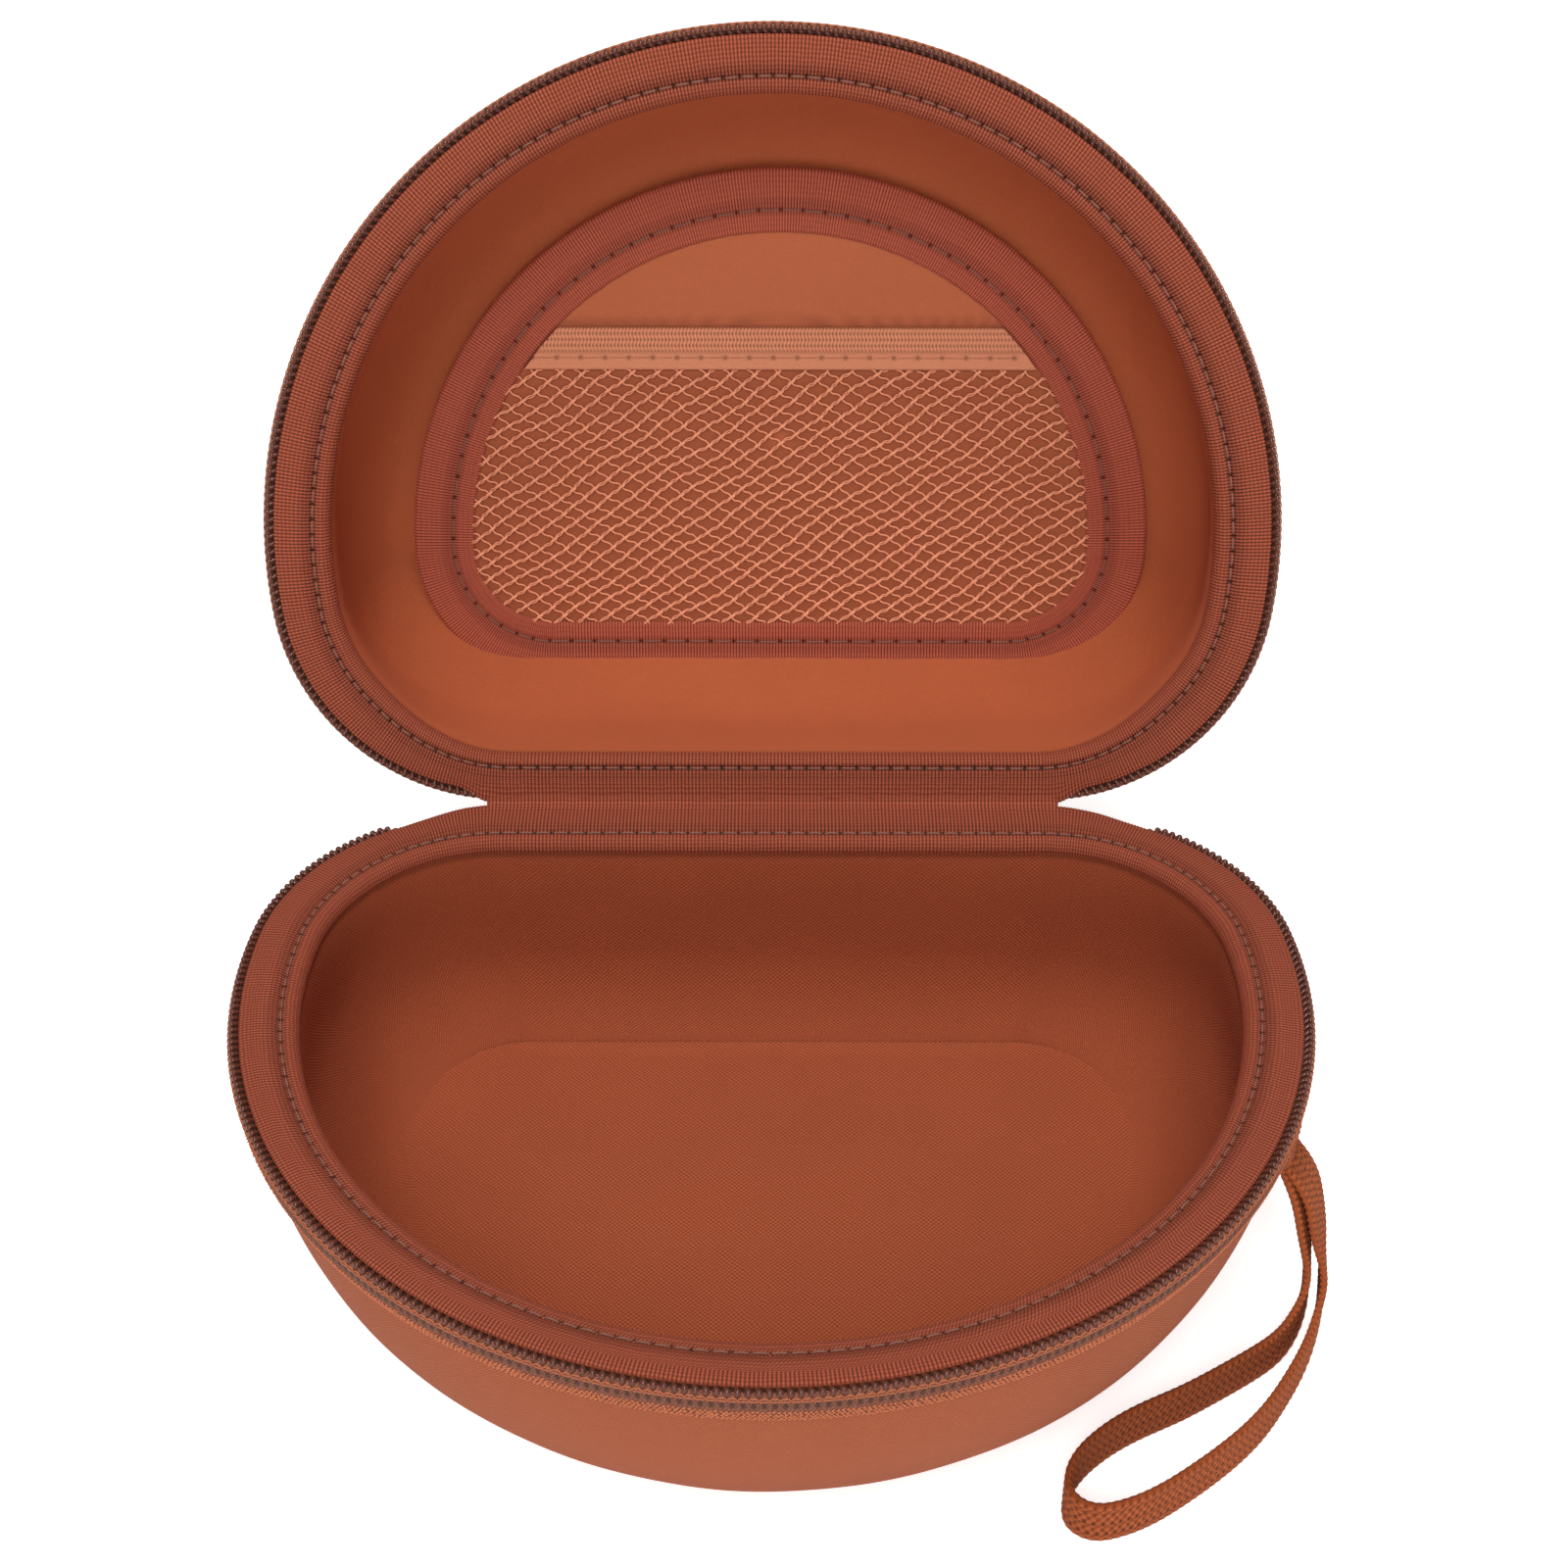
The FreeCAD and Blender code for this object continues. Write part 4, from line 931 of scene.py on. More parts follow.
def hinge_strip(name, mat, replaced, outer, inner, fold, half_width, pitch, ribbed):
    """A cloth strip folded over the hinge line. Outer and inner are its two faces on the
    base side as rim-frame (y, z); fold is the world (y, z) of both at the hinge line.
    The ribbed strip thins out at its ends, the plain one has rounded corners."""
    nx = int(round(2 * half_width / pitch)) * 4 + 1
    x = np.linspace(-half_width, half_width, nx)

    def face(pts, middle, n):
        """Columns: world y, world z, share of the lid."""
        flat = np.zeros((len(pts), 3))
        flat[:, 1:] = pts
        q = np.concatenate([to_world("base", flat)[:, 1:], [middle],
                            to_world("lid", flat)[::-1, 1:]])
        lid = np.concatenate([np.zeros(len(pts)), [0.5], np.ones(len(pts))])
        return resample(np.concatenate([q, lid[:, None]], 1), n)

    n_outer, n_inner = 45, 25
    section = np.concatenate([face(outer, fold[0], n_outer),
                              face(inner, fold[1], n_inner)[::-1]])
    nv = len(section)
    wave = np.cos(2 * PI * x / pitch)[:, None]
    normal = outward_normals(section[:, :2])
    share = np.zeros(nv)
    share[1:n_outer - 1] = float(ribbed)
    push = 0.06 * share[None, :] * (wave - 1.0)
    p = np.zeros((nx, nv, 3))
    p[..., 0] = x[:, None]
    p[..., 1:] = section[None, :, :2] + push[..., None] * normal[None]
    if ribbed:
        # its ends run out to nothing in the fold
        end = np.clip((np.abs(x) - (half_width - 1.6)) / 1.6, 0, 1)
        end = np.maximum(np.sqrt(1 - end ** 2), 0.04)[:, None]
        for axis, centre in ((1, 63.92), (2, 56.02)):
            p[..., axis] = centre + (p[..., axis] - centre) * end
    else:
        far = np.maximum(np.abs(section[:, 0] - HINGE_Y), np.abs(section[:, 1] - HINGE_Z))
        cut = np.clip(far - (HINGE_TAPE_REACH - HINGE_CORNER), 0, HINGE_CORNER)
        width = half_width - (HINGE_CORNER
                              - np.sqrt(np.maximum(HINGE_CORNER ** 2 - cut ** 2, 0)))
        p[..., 0] = x[:, None] * (width / half_width)[None, :]
    f = Form()
    # painted shade in the grooves between the ribs
    first = f.grid(p, np.append(x, x[-1]), np.append(arc_len(section[:, :2]), 60),
                   wrap_v=True, pit=np.clip(share[None, :] * (0.36 - 0.52 * wave), 0, 1))
    # both ends are closed from face to face, so that they fold with the strip
    i = np.arange(n_outer)
    facing = nv - 1 - np.round(i * (n_inner - 1) / (n_outer - 1)).astype(int)
    for start in (first, first + (nx - 1) * nv):
        for i in range(n_outer - 1):
            corners = [i, i + 1, facing[i + 1], facing[i]]
            if facing[i] == facing[i + 1]:
                corners.pop()
            f.face([start + c for c in corners])
    ob = f.build(name, MAT[mat])
    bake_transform(ob, "base", "lid", start=(0, 0.063, 0.054), end=(0, 0.066, 0.058))
    # a point beside the hinge line belongs wholly to its own side
    set_blend(ob, smooth((np.tile(section[:, 2], nx) - 0.02) / 0.96))
    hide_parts(*replaced)


hinge_strip(
    "hinge_inner_ribbon", "grosgrain", ("hinge_ribbon_base", "hinge_ribbon_lid"),
    outer=[(-1.7, -0.42), (-1.65, -0.3), (-1.4, -0.18), (-1.0, -0.12), (-0.6, -0.12)],
    inner=[(-1.7, -0.46), (-1.2, -0.50), (-0.8, -0.50)],
    fold=((63.80, 56.10), (63.98, 55.90)),
    half_width=58.0, pitch=RIM.total / RIM_RIBS, ribbed=True)
hinge_strip(
    "hinge_outer_tape", "outer_weave", ("hinge_tape_base", "hinge_tape_lid"),
    outer=[(-1.9, -HINGE_TAPE_REACH), (-1.1, -15.8), (-0.85, -15.0), (-0.8, -12.0),
           (-0.75, -8.0), (-0.8, -4.0), (-0.8, -2.0), (-0.78, -1.0)],
    inner=[(-2.1, -HINGE_TAPE_REACH), (-2.6, -15.4), (-2.6, -12.0), (-2.6, -6.0),
           (-2.6, -3.0), (-2.1, -1.6), (-1.3, -0.75)],
    fold=((64.22, 55.72), (64.04, 55.92)),
    half_width=43.5, pitch=0.9, ribbed=False)


# ------------------------------------------------------------------ pocket
PANEL_SIDE, PANEL_FRONT, PANEL_BACK, PANEL_CORNER = 22.8, 31.0, 14.4, 28.5
PANEL_X = -1.5                      # the panel sits off centre
PANEL = Track(PANEL_SIDE, PANEL_FRONT, PANEL_BACK, PANEL_CORNER, PANEL_X)
PANEL_Z, PANEL_UNDER = -42.42, 1.16  # upper face, and the lower one below it
POCKET_STITCH = 5.0
POCKET_SEAM = 7.6                   # inset of the ribbon's seam
POCKET_RIBBON = 12.2                # width of the ribbon
ARC_DEPTH = -(ARC_Y + PANEL_FRONT - PANEL_SIDE)       # -y of the panel's arc centre
MOUTH_RADIUS = RIM_RADIUS - PANEL_SIDE - POCKET_RIBBON
BAND_NEAR, BAND_FAR = 80.8, 89.6    # -y of the elastic's edges


def panel_sheet():
    """Sheet behind the net: upper and lower face, closed round the edge."""
    ns = 260
    s = np.arange(ns) * PANEL.total / ns
    edge = PANEL.at(s, 0.3, PANEL_Z)
    low = PANEL.at(s, 0.05, PANEL_Z - PANEL_UNDER)
    middle = np.array([PANEL_X, -66.0, PANEL_Z])
    under = middle + [0, 0, -PANEL_UNDER]
    share = np.linspace(1, 0.04, 26)
    top = middle + (edge[:, None] - middle) * share[None, :, None]
    top[..., 2] = PANEL_Z - 0.10 * (1 - smooth((1 - share) * 3))[None, :]
    rings = np.array([0.04, 0.3, 0.6, 0.97, 1.0])
    bottom = under + (low[:, None] - under) * rings[None, :, None]
    p = np.concatenate([bottom, top], 1)
    # painted shade: darker towards the hinge side of the elastic, under the net, with a painted shadow line
    # along the elastic's far edge
    pit = 0.30 * smooth((p[..., 1] + 82.5) / 3.0) + 0.35 * bell(p[..., 1] + 90.3, 0.9)
    f = Form()
    first = f.grid(to_world("lid", p), wrap_u=True, pit=pit)
    f.quad_uvs[-1] = p.reshape(-1, 3)[:, :2][f.quads[-1] - first]  # plan, in millimetres
    nv = p.shape[1]
    ring = first + np.arange(ns) * nv
    f.fan(ring, to_world("lid", under))
    f.fan(ring + nv - 1, to_world("lid", middle), flip=True)
    return f


def pocket_ribbon():
    """Ribbon bound round the panel's edge."""
    face = resample(
        [(-0.62, -43.45), (-0.78, -43.0), (-0.78, -42.4), (-0.6, -41.9), (-0.15, -41.62),
         (0.8, -41.52), (3.0, -41.5), (6.0, -41.56), (POCKET_SEAM, -41.64), (9.2, -41.56),
         (11.0, -41.5), (11.7, -41.58), (12.05, -41.8), (12.1, -42.2)], 52)
    back = [(11.8, -42.36), (8.0, -42.36), (4.0, -42.36), (0.6, -42.37), (0.0, -42.5),
            (-0.02, -43.4)]
    seam = int(np.argmin(np.abs(face[:, 0] - POCKET_SEAM) + (face[:, 1] < -42) * 9))
    return ribbon("lid", PANEL, ribbon_section(face, back, soft=[0, 1, 2], soft_share=0.4),
                  660, seam, POCKET_STITCH, seam_depth=0.42, rib=0.07)


def pocket_stitches():
    n_stitches = int(round(PANEL.total / POCKET_STITCH))
    step = PANEL.total / n_stitches
    share, radius = capsule(9)
    z = -41.72 + sunk(share, 0.4, 0.4)
    f = Form()
    for i in range(n_stitches):
        s = i * step + 0.35 + share * (step - 0.7)
        path = PANEL.at(s, POCKET_SEAM + 0.05 * rng.normal(), z)
        f.tube(to_world("lid", path), 0.18 * radius, UP["lid"], u=np.linspace(0, 4, 9))
    return f


def inside_depth(x, y):
    """How far a point lies inside the pocket ribbon's inner edge."""
    x = x - PANEL_X
    corner_x, corner_y = 48.69, -PANEL_BACK - PANEL_CORNER
    from_arc = MOUTH_RADIUS - np.hypot(x, y + ARC_DEPTH)
    from_line = -(PANEL_BACK + POCKET_RIBBON) - y
    from_corner = (PANEL_CORNER - POCKET_RIBBON
                   - np.hypot(np.abs(x) - corner_x, y - corner_y))
    in_corner = (np.abs(x) > corner_x) & (y > corner_y)
    near = np.minimum(from_line, np.where(in_corner, from_corner, MOUTH_RADIUS - np.abs(x)))
    return np.where(y > -ARC_DEPTH, near, from_arc)


def mouth_weight(x, y):
    """Share of the pocket mouth's stretch: none at the ribbon, all at mid mouth."""
    across = np.clip((-y - 27.0) / (BAND_NEAR - 27.0), 0, 1) ** 1.3
    chord = np.sqrt(np.maximum(
        MOUTH_RADIUS ** 2 - (np.maximum(-y, ARC_DEPTH) - ARC_DEPTH) ** 2, 1.0))
    ends = smooth((chord - np.abs(x - PANEL_X)) / 34.0)
    edge = smooth((inside_depth(x, y) + 2) / 20.0)
    return np.where(-y > BAND_NEAR - 0.5, ends, across * np.minimum(ends, edge))


def make_mouth(form, name, mat, replaces, on_band=True):
    """Builds a piece that stretches with the mouth; on_band moves all of it alike."""
    world = np.concatenate(form.verts)
    x = -world[:, 0]
    y = -(world[:, 1] - HINGE_Y) * OPEN_COS - (world[:, 2] - HINGE_Z) * OPEN_SIN
    ob = form.build(name, MAT[mat])
    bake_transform(ob, "lid", "pocket_mouth", start=(0, 0.1, 0.1), end=(0, 0.1, 0.12))
    set_blend(ob, mouth_weight(x, np.minimum(y, -BAND_NEAR) if on_band else y))
    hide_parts(replaces)


MESH_X, MESH_Y = 2.57, 1.86         # half diagonals of one diamond


def lattice(a, b):
    """Place of a lattice point of the net, which hangs a little uneven."""
    x = MESH_X * (a + b) + PANEL_X
    y = MESH_Y * (a - b) - 54.0
    sway_x = (0.38 * np.sin(y * 0.21 + x * 0.03) + 0.22 * np.sin(x * 0.35 + 1.0)
              + 0.16 * np.sin(y * 0.83 + x * 0.6))
    sway_y = (0.32 * np.sin(x * 0.17 + 0.5) + 0.2 * np.sin(y * 0.4 + x * 0.11)
              + 0.14 * np.sin(x * 0.71 - y * 0.37))
    return x + sway_x, y + sway_y


def net_yarns(f, family):
    """Yarns of one direction: single fine ones (0) or looped, doubled ones (1)."""
    sign = -1 if family else 1
    direction = unit(np.array([MESH_X, MESH_Y]))
    for i in range(-60, 61):
        j = np.arange(-60 * 6, 60 * 6 + 1) / 6.0
        line = np.full(len(j), float(i))
        x, y = lattice(j, line) if family else lattice(line, j)
        # each mesh opens into a rounded diamond between its knots
        bend = -0.22 * sign * np.sin(2 * PI * j)
        x, y = x + bend * 0.35, y + bend
        parity = 1.0 if i % 2 == 0 else -1.0
        z = -41.66 + 0.13 * np.cos(PI * j) * parity * sign
        inside = (inside_depth(x, y) > -0.9) & (y > -(BAND_NEAR + 0.3)) & (y < -25.5)
        kept = np.flatnonzero(inside)
        for run in np.split(kept, np.flatnonzero(np.diff(kept) > 1) + 1):
            if len(run) < 5:
                continue
            px, py, pz = x[run], y[run], z[run]
            if not family:
                f.tube(to_world("lid", np.stack([px, py, pz - 0.02], -1)), 0.175,
                       UP["lid"], 5)
                continue
            turn = 2 * PI * j[run]
            for side in (-1, 1):
                off = side * (0.14 - 0.10 * np.cos(turn))
                path = np.stack([px - direction[1] * off, py + direction[0] * off,
                                 pz + side * 0.05 * np.sin(turn)], -1)
                f.tube(to_world("lid", path), 0.14, UP["lid"], 5)


def net_knots(f):
    """A knot of two loops at every crossing."""
    share, radius = capsule(6)
    for i in range(-40, 41):
        for k in range(-40, 41):
            x, y = lattice(i, k)
            if inside_depth(x, y) < 0.3 or y < -(BAND_NEAR - 0.5) or y > -26.0:
                continue
            for side in (-1, 1):
                twist = 0.13 * side * np.sin(share * PI * 2)
                path = np.stack([x + (share - 0.5) * 1.5 - 0.6 * twist,
                                 y + (share - 0.5) * 0.95 + 0.8 * twist,
                                 -41.52 + 0.05 * side * np.cos(share * PI)], -1)
                f.tube(to_world("lid", path), (0.19 + 0.05 * rng.random()) * radius,
                       UP["lid"], 5)


def pocket_net():
    f = Form()
    net_yarns(f, 0)
    net_yarns(f, 1)
    net_knots(f)
    return f


KNIT_PITCH, KNIT_ROW = 0.74, 1.24   # loops along the elastic, rows across it
BAND_STITCH = 5.0


def elastic_band():
    """Elastic along the mouth: a rolled edge, a flat sewn zone and knit rows."""
    nx = 1080
    share_x = np.linspace(-1, 1, nx)

    def across(share):
        """x and -y of the band; share is 0 at the net, 1 at the far edge."""
        y = BAND_NEAR + (BAND_FAR - BAND_NEAR) * share
        chord = np.sqrt((MOUTH_RADIUS - 0.1) ** 2 - (y - ARC_DEPTH) ** 2)
        return share_x[:, None] * chord[None, :] + PANEL_X, y

    q = np.linspace(0, 1, 40)
    x, y = across(q)
    zigzag = np.abs(np.mod((y[None, :] - BAND_FAR) / KNIT_ROW, 2) - 1)
    knit = np.cos(2 * PI * (x / KNIT_PITCH + zigzag * 0.5))
    rows = np.cos(2 * PI * (y - BAND_FAR) / KNIT_ROW)[None, :]
    flat_knit = np.cos(2 * PI * x / KNIT_PITCH) * np.cos(2 * PI * y / (KNIT_ROW / 2))[None, :]
    knitted = smooth((q - 0.42) / 0.06)[None, :]
    flat = 1 - knitted
    ridge = bell(q - 0.06, 0.06)[None, :]
    groove = bell(q - 0.42, 0.035)[None, :]
    hole = bell(to_nearest(x, BAND_STITCH), 0.55) * bell(q - 0.29, 0.05)[None, :]
    z = (-41.16 + knitted * (0.06 * knit * (1 - 0.4 * rows) - 0.07 * rows)
         + flat * 0.03 * flat_knit + 0.10 * ridge - 0.16 * groove - 0.3 * hole)
    z = z - 0.45 * (1 - quarter_round(np.minimum(q, 1 - q) / 0.045))[None, :]
    top = np.stack([x, -np.broadcast_to(y, x.shape), z], -1)
    # painted shade in the groove, the stitch holes and between the knit's loops and rows
    pit = np.clip(0.25 * groove + 0.62 * hole + knitted * (0.26 - 0.34 * knit + 0.24 * rows)
                  + flat * (0.18 - 0.26 * flat_knit), 0, 1)
    n_under = 8
    x, y = across(np.linspace(1, 0, n_under))
    under = np.stack([x, -np.broadcast_to(y, x.shape), np.full(x.shape, -41.88)], -1)
    p = np.concatenate([top, under], 1)
    f = Form()
    f.bar(to_world("lid", p), np.append(share_x, 1) * 48,
          np.append(arc_len(p[0, :, 1:]), 30),
          pit=np.concatenate([pit, np.zeros((nx, n_under))], 1))
    return f


def elastic_stitches():
    share, radius = capsule(8)
    y = np.full(len(share), -(BAND_NEAR + 0.29 * (BAND_FAR - BAND_NEAR)))
    z = -41.1 + sunk(share, 0.25, 0.4)
    f = Form()
    for i in range(-11, 11):
        x = i * BAND_STITCH + 0.5 + share * 4.0
        if abs(x.mean() - PANEL_X) <= 50:
            f.tube(to_world("lid", np.stack([x, y, z], -1)), 0.14 * radius, UP["lid"], 5)
    return f


make(panel_sheet(), "pocket_panel_sheet", "panel_weave", "lid",
     "pocket_backing_panel")
make(pocket_ribbon(), "pocket_ribbon", "grosgrain_fine", "lid",
     "pocket_binding")
make(pocket_stitches(), "pocket_ribbon_stitches", "seam_thread", "lid",
     "pocket_stitching")
make_mouth(pocket_net(), "pocket_net", "net_yarn", "pocket_mesh", on_band=False)
make_mouth(elastic_band(), "pocket_elastic", "elastic_knit",
           "pocket_elastic_band")
make_mouth(elastic_stitches(), "pocket_elastic_stitches", "elastic_knit",
           "pocket_band_stitching")


# ------------------------------------------------------------------ strap
# base rim frame: outward from the wall at the strap, and along the wall there
OUT = np.array([0.9409, -0.3387, 0.0])
ALONG = np.array([0.3387, 0.9409, 0.0])
ARC_CENTRE = np.array([0, ARC_Y, 0])
DROP = 14.0                         # depth of the strap's ends below the rim
STRAP_HALF_W, STRAP_HALF_T = 4.5, 0.62
LANE, WEFT = 0.9, 1.50              # weave lanes across, bars along the strap
TAB_OUT = 1.35                      # middle of the tab, outside the wall


def wall_reach(z):
    """Radius of the base's outside about the arc centre, at height z."""
    return RIM_RADIUS - SKIN - BASE_SIDE * (1 - np.sqrt(1 - (z / BASE_DEPTH) ** 2)) * 0.9


PIVOT = ARC_CENTRE + OUT * (wall_reach(-DROP) + 2.3) + np.array([0, 0, -DROP])
LYING = -BASE_DEPTH + STRAP_HALF_W + 0.5   # centre line of a strap on edge on the floor
STRAP_LINE = np.array([
    PIVOT + OUT * -1.48 + [0, 0, -0.10],
    (94.4, -86.0, -20.3), (96.6, -86.8, -28.3), (98.2, -87.9, -37.6), (97.6, -91.6, -45.2),
    (93.6, -97.2, -50.0), (88.1, -101.5, LYING), (80.9, -106.3, LYING),
    (72.8, -111.2, LYING), (64.8, -115.4, LYING), (57.8, -120.3, LYING),
    (53.6, -124.7, LYING), (51.2, -129.6, LYING), (51.4, -133.6, LYING),
    (54.6, -136.2, LYING), (59.4, -135.8, LYING), (65.4, -133.2, LYING),
    (72.6, -128.4, LYING), (80.1, -122.4, LYING), (86.9, -115.6, LYING),
    (93.3, -106.7, LYING), (97.9, -98.9, -50.0), (100.6, -92.6, -45.2),
    (100.9, -88.6, -37.6), (98.9, -87.4, -28.3), (96.6, -86.6, -20.3),
    PIVOT + OUT * -0.42 + [0, 0, -0.10]])


def spline(pts, n):
    """Natural cubic through points by chord length, sampled evenly; and its length."""
    knots = arc_len(pts)
    h = np.diff(knots)
    m = len(pts)
    system, right = np.zeros((m, m)), np.zeros((m, 3))
    system[0, 0] = system[-1, -1] = 1
    for i in range(1, m - 1):
        system[i, i - 1:i + 2] = h[i - 1], 2 * (h[i - 1] + h[i]), h[i]
        right[i] = 6 * ((pts[i + 1] - pts[i]) / h[i] - (pts[i] - pts[i - 1]) / h[i - 1])
    bend = np.linalg.solve(system, right)
    x = np.linspace(0, knots[-1], 4000)
    i = np.clip(np.searchsorted(knots, x, side="right") - 1, 0, m - 2)
    a = ((knots[i + 1] - x) / h[i])[:, None]
    b = ((x - knots[i]) / h[i])[:, None]
    curve = (a * pts[i] + b * pts[i + 1]
             + ((a ** 3 - a) * bend[i] + (b ** 3 - b) * bend[i + 1]) * (h[i] ** 2)[:, None] / 6)
    return sample_even(curve, n)


def wrist_strap():
    """Flat webbing that hangs from the tab and lies on the floor on its edge."""
    n = 1120
    centre, length = spline(STRAP_LINE, n)
    run = np.linspace(0, length, n)
    along = unit(np.gradient(centre, axis=0))
    # its width lies along the wall at the tab and stands up on the floor
    stands = smooth((-centre[:, 2] - 26.0) / 22.0)[:, None]
    want = ALONG * (stands - 1) + np.array([0, 0, 1.0]) * stands
    wide = unit(want - along * np.sum(want * along, 1)[:, None])
    thick = np.cross(along, wide)
    # section: a point at both edges and two faces, from -1 to 1 both ways
    w = np.linspace(-1, 1, 17) * 0.96
    section = np.array([(-1.0, 0.0)] + [(q, 1.0) for q in w]
                       + [(1.0, 0.0)] + [(q, -1.0) for q in w[::-1]])
    side = section[:, 1]
    across = section[:, 0] * STRAP_HALF_W
    lanes = (across + STRAP_HALF_W) / LANE
    gutter = np.abs(np.mod(lanes, 1.0) - 0.5)
    # the bars of the weave stand out of the faces, staggered from lane to lane
    phase = 2 * PI * run[:, None] / WEFT + PI * np.mod(np.floor(lanes), 2)[None, :] * 0.9
    weft = np.cos(phase) * np.abs(side)[None, :]
    relief = 0.12 * weft * (1 - 0.5 * (gutter > 0.3))[None, :]
    edge = 0.17 * np.cos(2 * PI * run / WEFT)[:, None] * (side == 0)[None, :]
    press = 0.15 * (bell(run, 2.6) + bell(length - run, 2.6))    # pressed flat at the tab
    thickness = (side[None, :] * (STRAP_HALF_T - press)[:, None]
                 + side[None, :] * relief)
    width = across[None, :] + np.sign(across)[None, :] * edge
    p = centre[:, None] + wide[:, None] * width[..., None] + thick[:, None] * thickness[..., None]
    # painted shade between the weave's bars and in the gutters between lanes
    pit = 0.30 - 0.42 * weft + 0.25 * (gutter > 0.42)[None, :] * np.abs(side)[None, :]
    f = Form()
    f.bar(to_world("base", p), np.append(run, length),
          np.append(arc_len(section * [STRAP_HALF_W, 0.6]), 20), pit=np.clip(pit, 0, 1))
    return f


def strap_tab():
    """Tab that holds the strap's ends under the tape."""
    n, around, rib = 26, 40, 0.8
    z = np.linspace(-8.75, -DROP + 0.40, n)
    a = np.arange(around) * 2 * PI / around
    ends = rounded_ends(n, 3.0, 0.72)
    ribs = np.cos(z * 2 * PI / rib)
    width = squared(np.cos(a), 0.35) * 5.0 * (0.97 + 0.03 * ends)[:, None]
    thickness = squared(np.sin(a), 0.5) * (ends * (1 + 0.06 * ribs))[:, None]
    centre = ARC_CENTRE + OUT * (wall_reach(z) + TAB_OUT)[:, None]
    centre[:, 2] += z
    p = centre[:, None] + ALONG * width[..., None] + OUT * thickness[..., None]
    f = Form()
    # painted shade between the ribs
    f.bar(to_world("base", p), np.append(z, z[-1]), np.linspace(0, 24, around + 1),
          pit=np.clip(0.15 - 0.3 * ribs, 0, 1)[:, None])
    return f


def tab_stitches():
    """Two rows of five stitches on the tab's outside."""
    share, radius = capsule(7)
    f = Form()
    for z in (-10.0, -11.4):
        row = ARC_CENTRE + OUT * (wall_reach(z) + TAB_OUT + 1.02) + np.array([0, 0, z])
        for i in range(5):
            path = (row + ALONG * (-3.6 + i * 1.5 + share * 1.25)[:, None]
                    + OUT * sunk(share, 0.12, 1)[:, None])
            f.tube(to_world("base", path), 0.17 * radius, OUT, 5)
    return f


make(wrist_strap(), "wrist_strap_webbing", "webbing_weave", "strap", "wrist_strap")
make(strap_tab(), "strap_tab", "webbing_weave", "base", "wrist_strap_anchor")
make(tab_stitches(), "strap_tab_stitches", "seam_thread", "base")


# ------------------------------------------------------------------ kept nodes
def finish_node(name, mat, bevel=0.0):
    """Gives a CAD piece its material and, if asked, softened edges (bevel in metres)."""
    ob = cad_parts[name]
    ob.data.materials.clear()
    ob.data.materials.append(MAT[mat])
    if bevel:
        edge = ob.modifiers.new("edge", "BEVEL")
        edge.width = bevel
        edge.segments = 3
        edge.limit_method = "ANGLE"
        edge.angle_limit = math.radians(30)
        ob.modifiers.new("weight", "WEIGHTED_NORMAL").keep_sharp = True


for name in ("zipper_slider_left", "zipper_slider_right",
             "zipper_pull_left", "zipper_pull_right"):
    finish_node(name, "zip_metal_finish", bevel=0.00022)
for name in ("base_shell", "lid_shell"):
    finish_node(name, "foam_core")


# ------------------------------------------------------------------ stage (metres)
def pale_floor():
    half_size = 3.0
    mesh = bpy.data.meshes.new("floor")
    corners = ((-1, -1), (1, -1), (1, 1), (-1, 1))
    mesh.from_pydata([(x * half_size, y * half_size, 0) for x, y in corners], [],
                     [(0, 1, 2, 3)])
    floor = bpy.data.objects.new("floor", mesh)
    bpy.context.scene.collection.objects.link(floor)
    m = Mat("pale_floor")
    cloud = m.noise(m.node("ShaderNodeTexCoord").outputs["Object"], 6.0)
    seen = m.node("ShaderNodeLightPath").outputs["Is Camera Ray"]
    m.set(Base_Color=m.mix(cloud, (0.90, 0.90, 0.90, 1), (0.93, 0.93, 0.93, 1)),
          Roughness=0.9, Emission_Color=(1.0, 0.99, 0.98, 1),
          Emission_Strength=m.math("MULTIPLY_ADD", seen, 0.30, 0.32))  # brighter when seen
    mesh.materials.append(m.material)


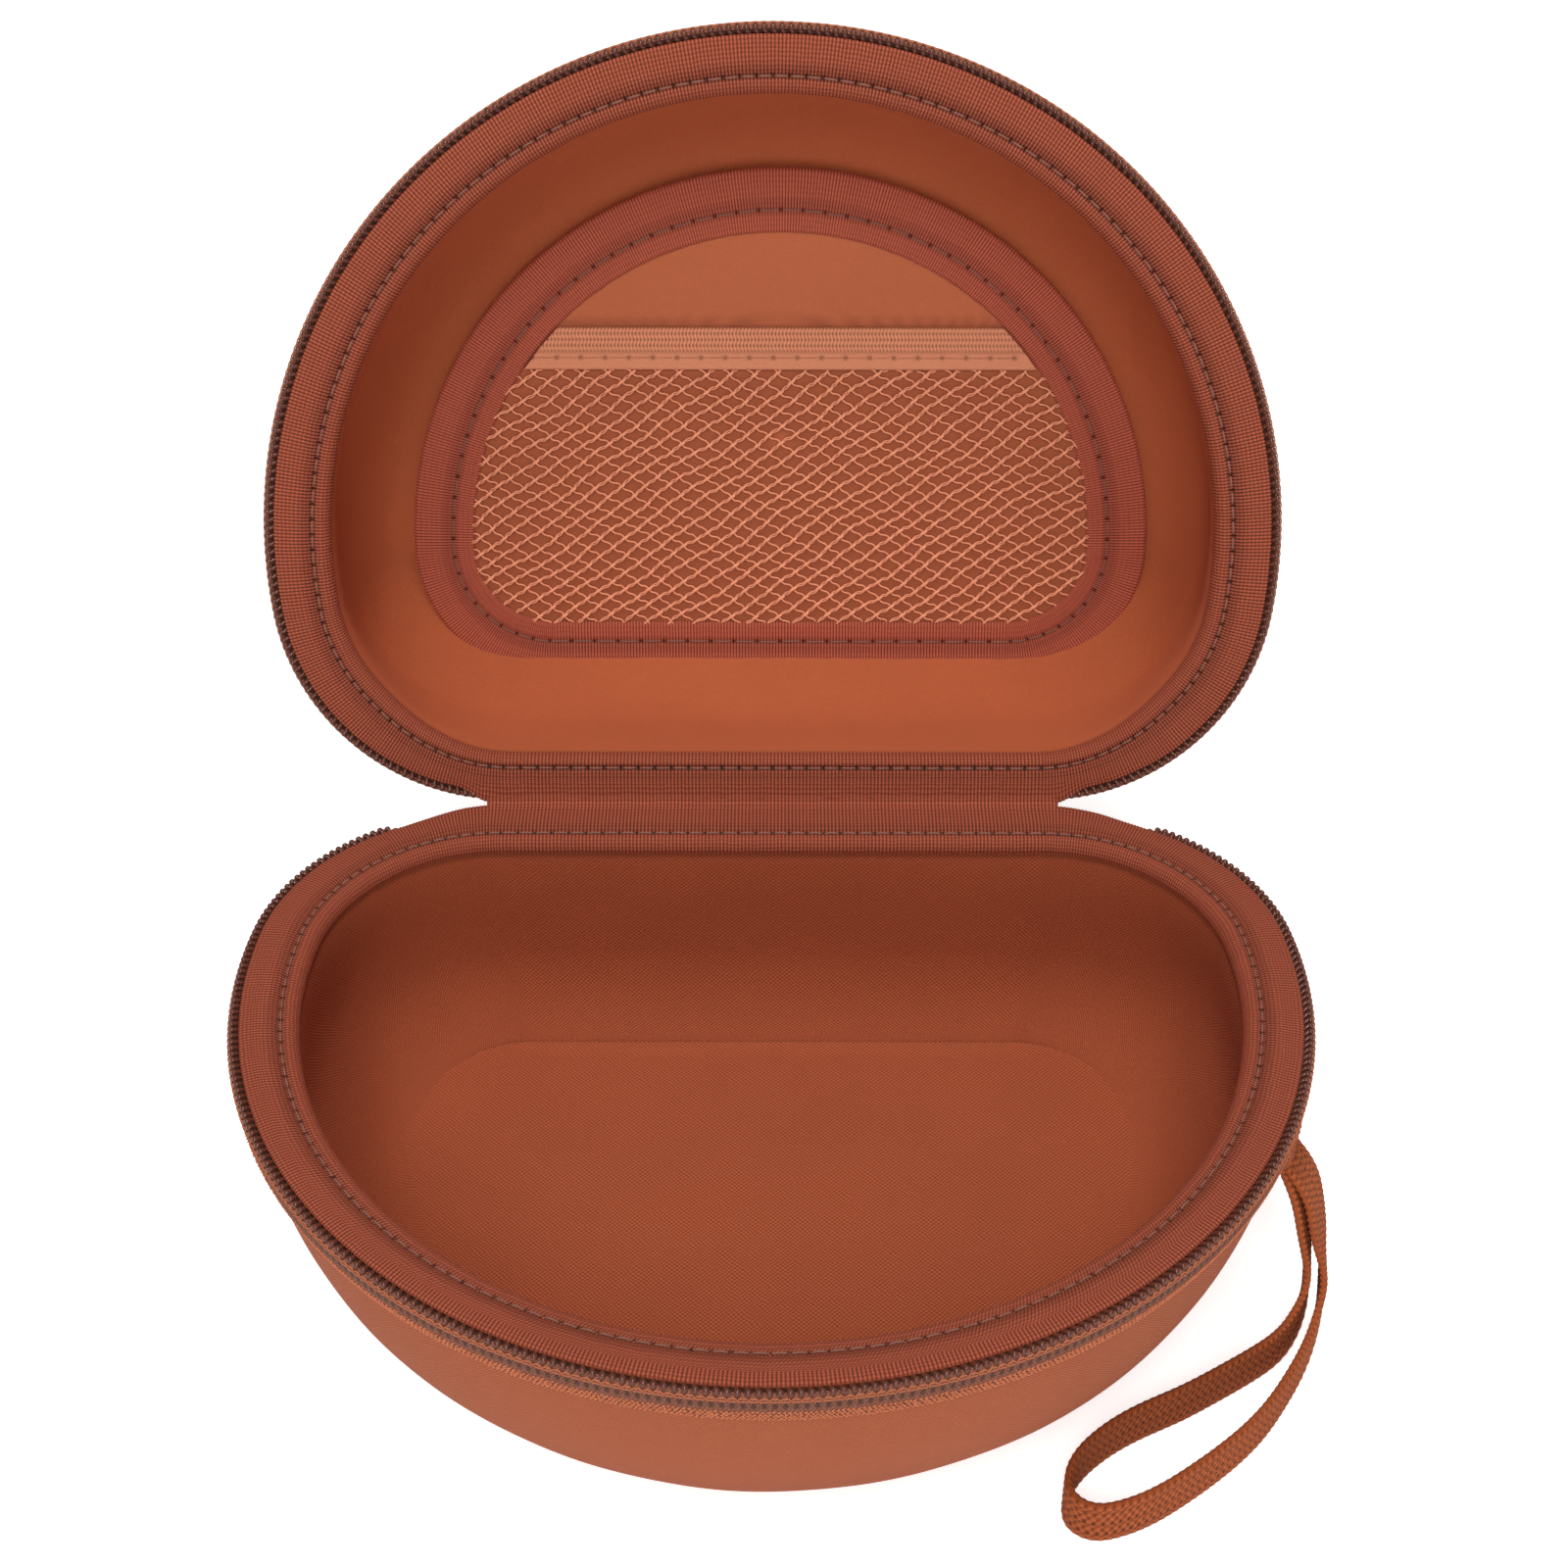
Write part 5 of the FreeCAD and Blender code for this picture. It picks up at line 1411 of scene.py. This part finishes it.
def studio_world():
    """Paper white behind, softer as a light."""
    world = bpy.data.worlds.new("studio")
    bpy.context.scene.world = world
    world.use_nodes = True
    tree = world.node_tree
    background = tree.nodes["Background"]
    seen = tree.nodes.new("ShaderNodeLightPath")
    level = tree.nodes.new("ShaderNodeMapRange")
    level.inputs["To Min"].default_value = 0.29
    level.inputs["To Max"].default_value = 1.05
    tree.links.new(seen.outputs["Is Camera Ray"], level.inputs["Value"])
    tree.links.new(level.outputs["Result"], background.inputs[1])
    background.inputs[0].default_value = (1.0, 0.985, 0.97, 1)


def area_light(name, place, target, size, watts):
    light = bpy.data.lights.new(name, "AREA")
    light.shape = "RECTANGLE"
    light.size, light.size_y = size
    light.energy = watts
    light.color = (1, 1, 1)
    ob = bpy.data.objects.new(name, light)
    ob.location = place
    ob.rotation_mode = "QUATERNION"
    aim = Vector(np.array(target, float) - np.array(place, float))
    ob.rotation_quaternion = aim.to_track_quat("-Z", "Y")
    bpy.context.scene.collection.objects.link(ob)


def add_camera(place, down, yaw, roll):
    """Camera that looks towards +Y; angles in degrees."""
    data = bpy.data.cameras.new("camera")
    data.sensor_width = 36.0
    data.lens = 56.25
    data.clip_start = 0.01
    data.clip_end = 20.0
    ob = bpy.data.objects.new("camera", data)
    bpy.context.scene.collection.objects.link(ob)
    down, yaw, roll = math.radians(down), math.radians(yaw), math.radians(roll)
    forward = np.array([math.sin(yaw) * math.cos(down), math.cos(yaw) * math.cos(down),
                        -math.sin(down)])
    right = np.array([math.cos(yaw), -math.sin(yaw), 0])
    up = np.cross(right, forward)
    pose = np.eye(4)
    pose[:3, 0] = right * math.cos(roll) + up * math.sin(roll)
    pose[:3, 1] = -right * math.sin(roll) + up * math.cos(roll)
    pose[:3, 2] = -forward
    pose[:3, 3] = place
    ob.matrix_world = Matrix(pose.tolist())
    bpy.context.scene.camera = ob


pale_floor()
studio_world()
area_light("key", place=(-0.12, -0.9, 1.0), target=(0, 0.02, 0.08), size=(0.3, 0.6), watts=9.0)
area_light("low", place=(0.03, -1.25, 0.26), target=(0, 0.05, 0.12), size=(0.3, 0.3), watts=2.0)
area_light("fill", place=(0.7, -0.7, 0.6), target=(0, 0.0, 0.06), size=(0.6, 0.6), watts=0.6)
area_light("top", place=(0.0, -0.02, 1.25), target=(0, 0.03, 0.1), size=(0.3, 0.45), watts=7.6)
add_camera(place=(0.00125, -0.3352, 0.3527), down=36.16, yaw=0.15, roll=0.17)
bpy.context.scene.view_settings.view_transform = "Standard"
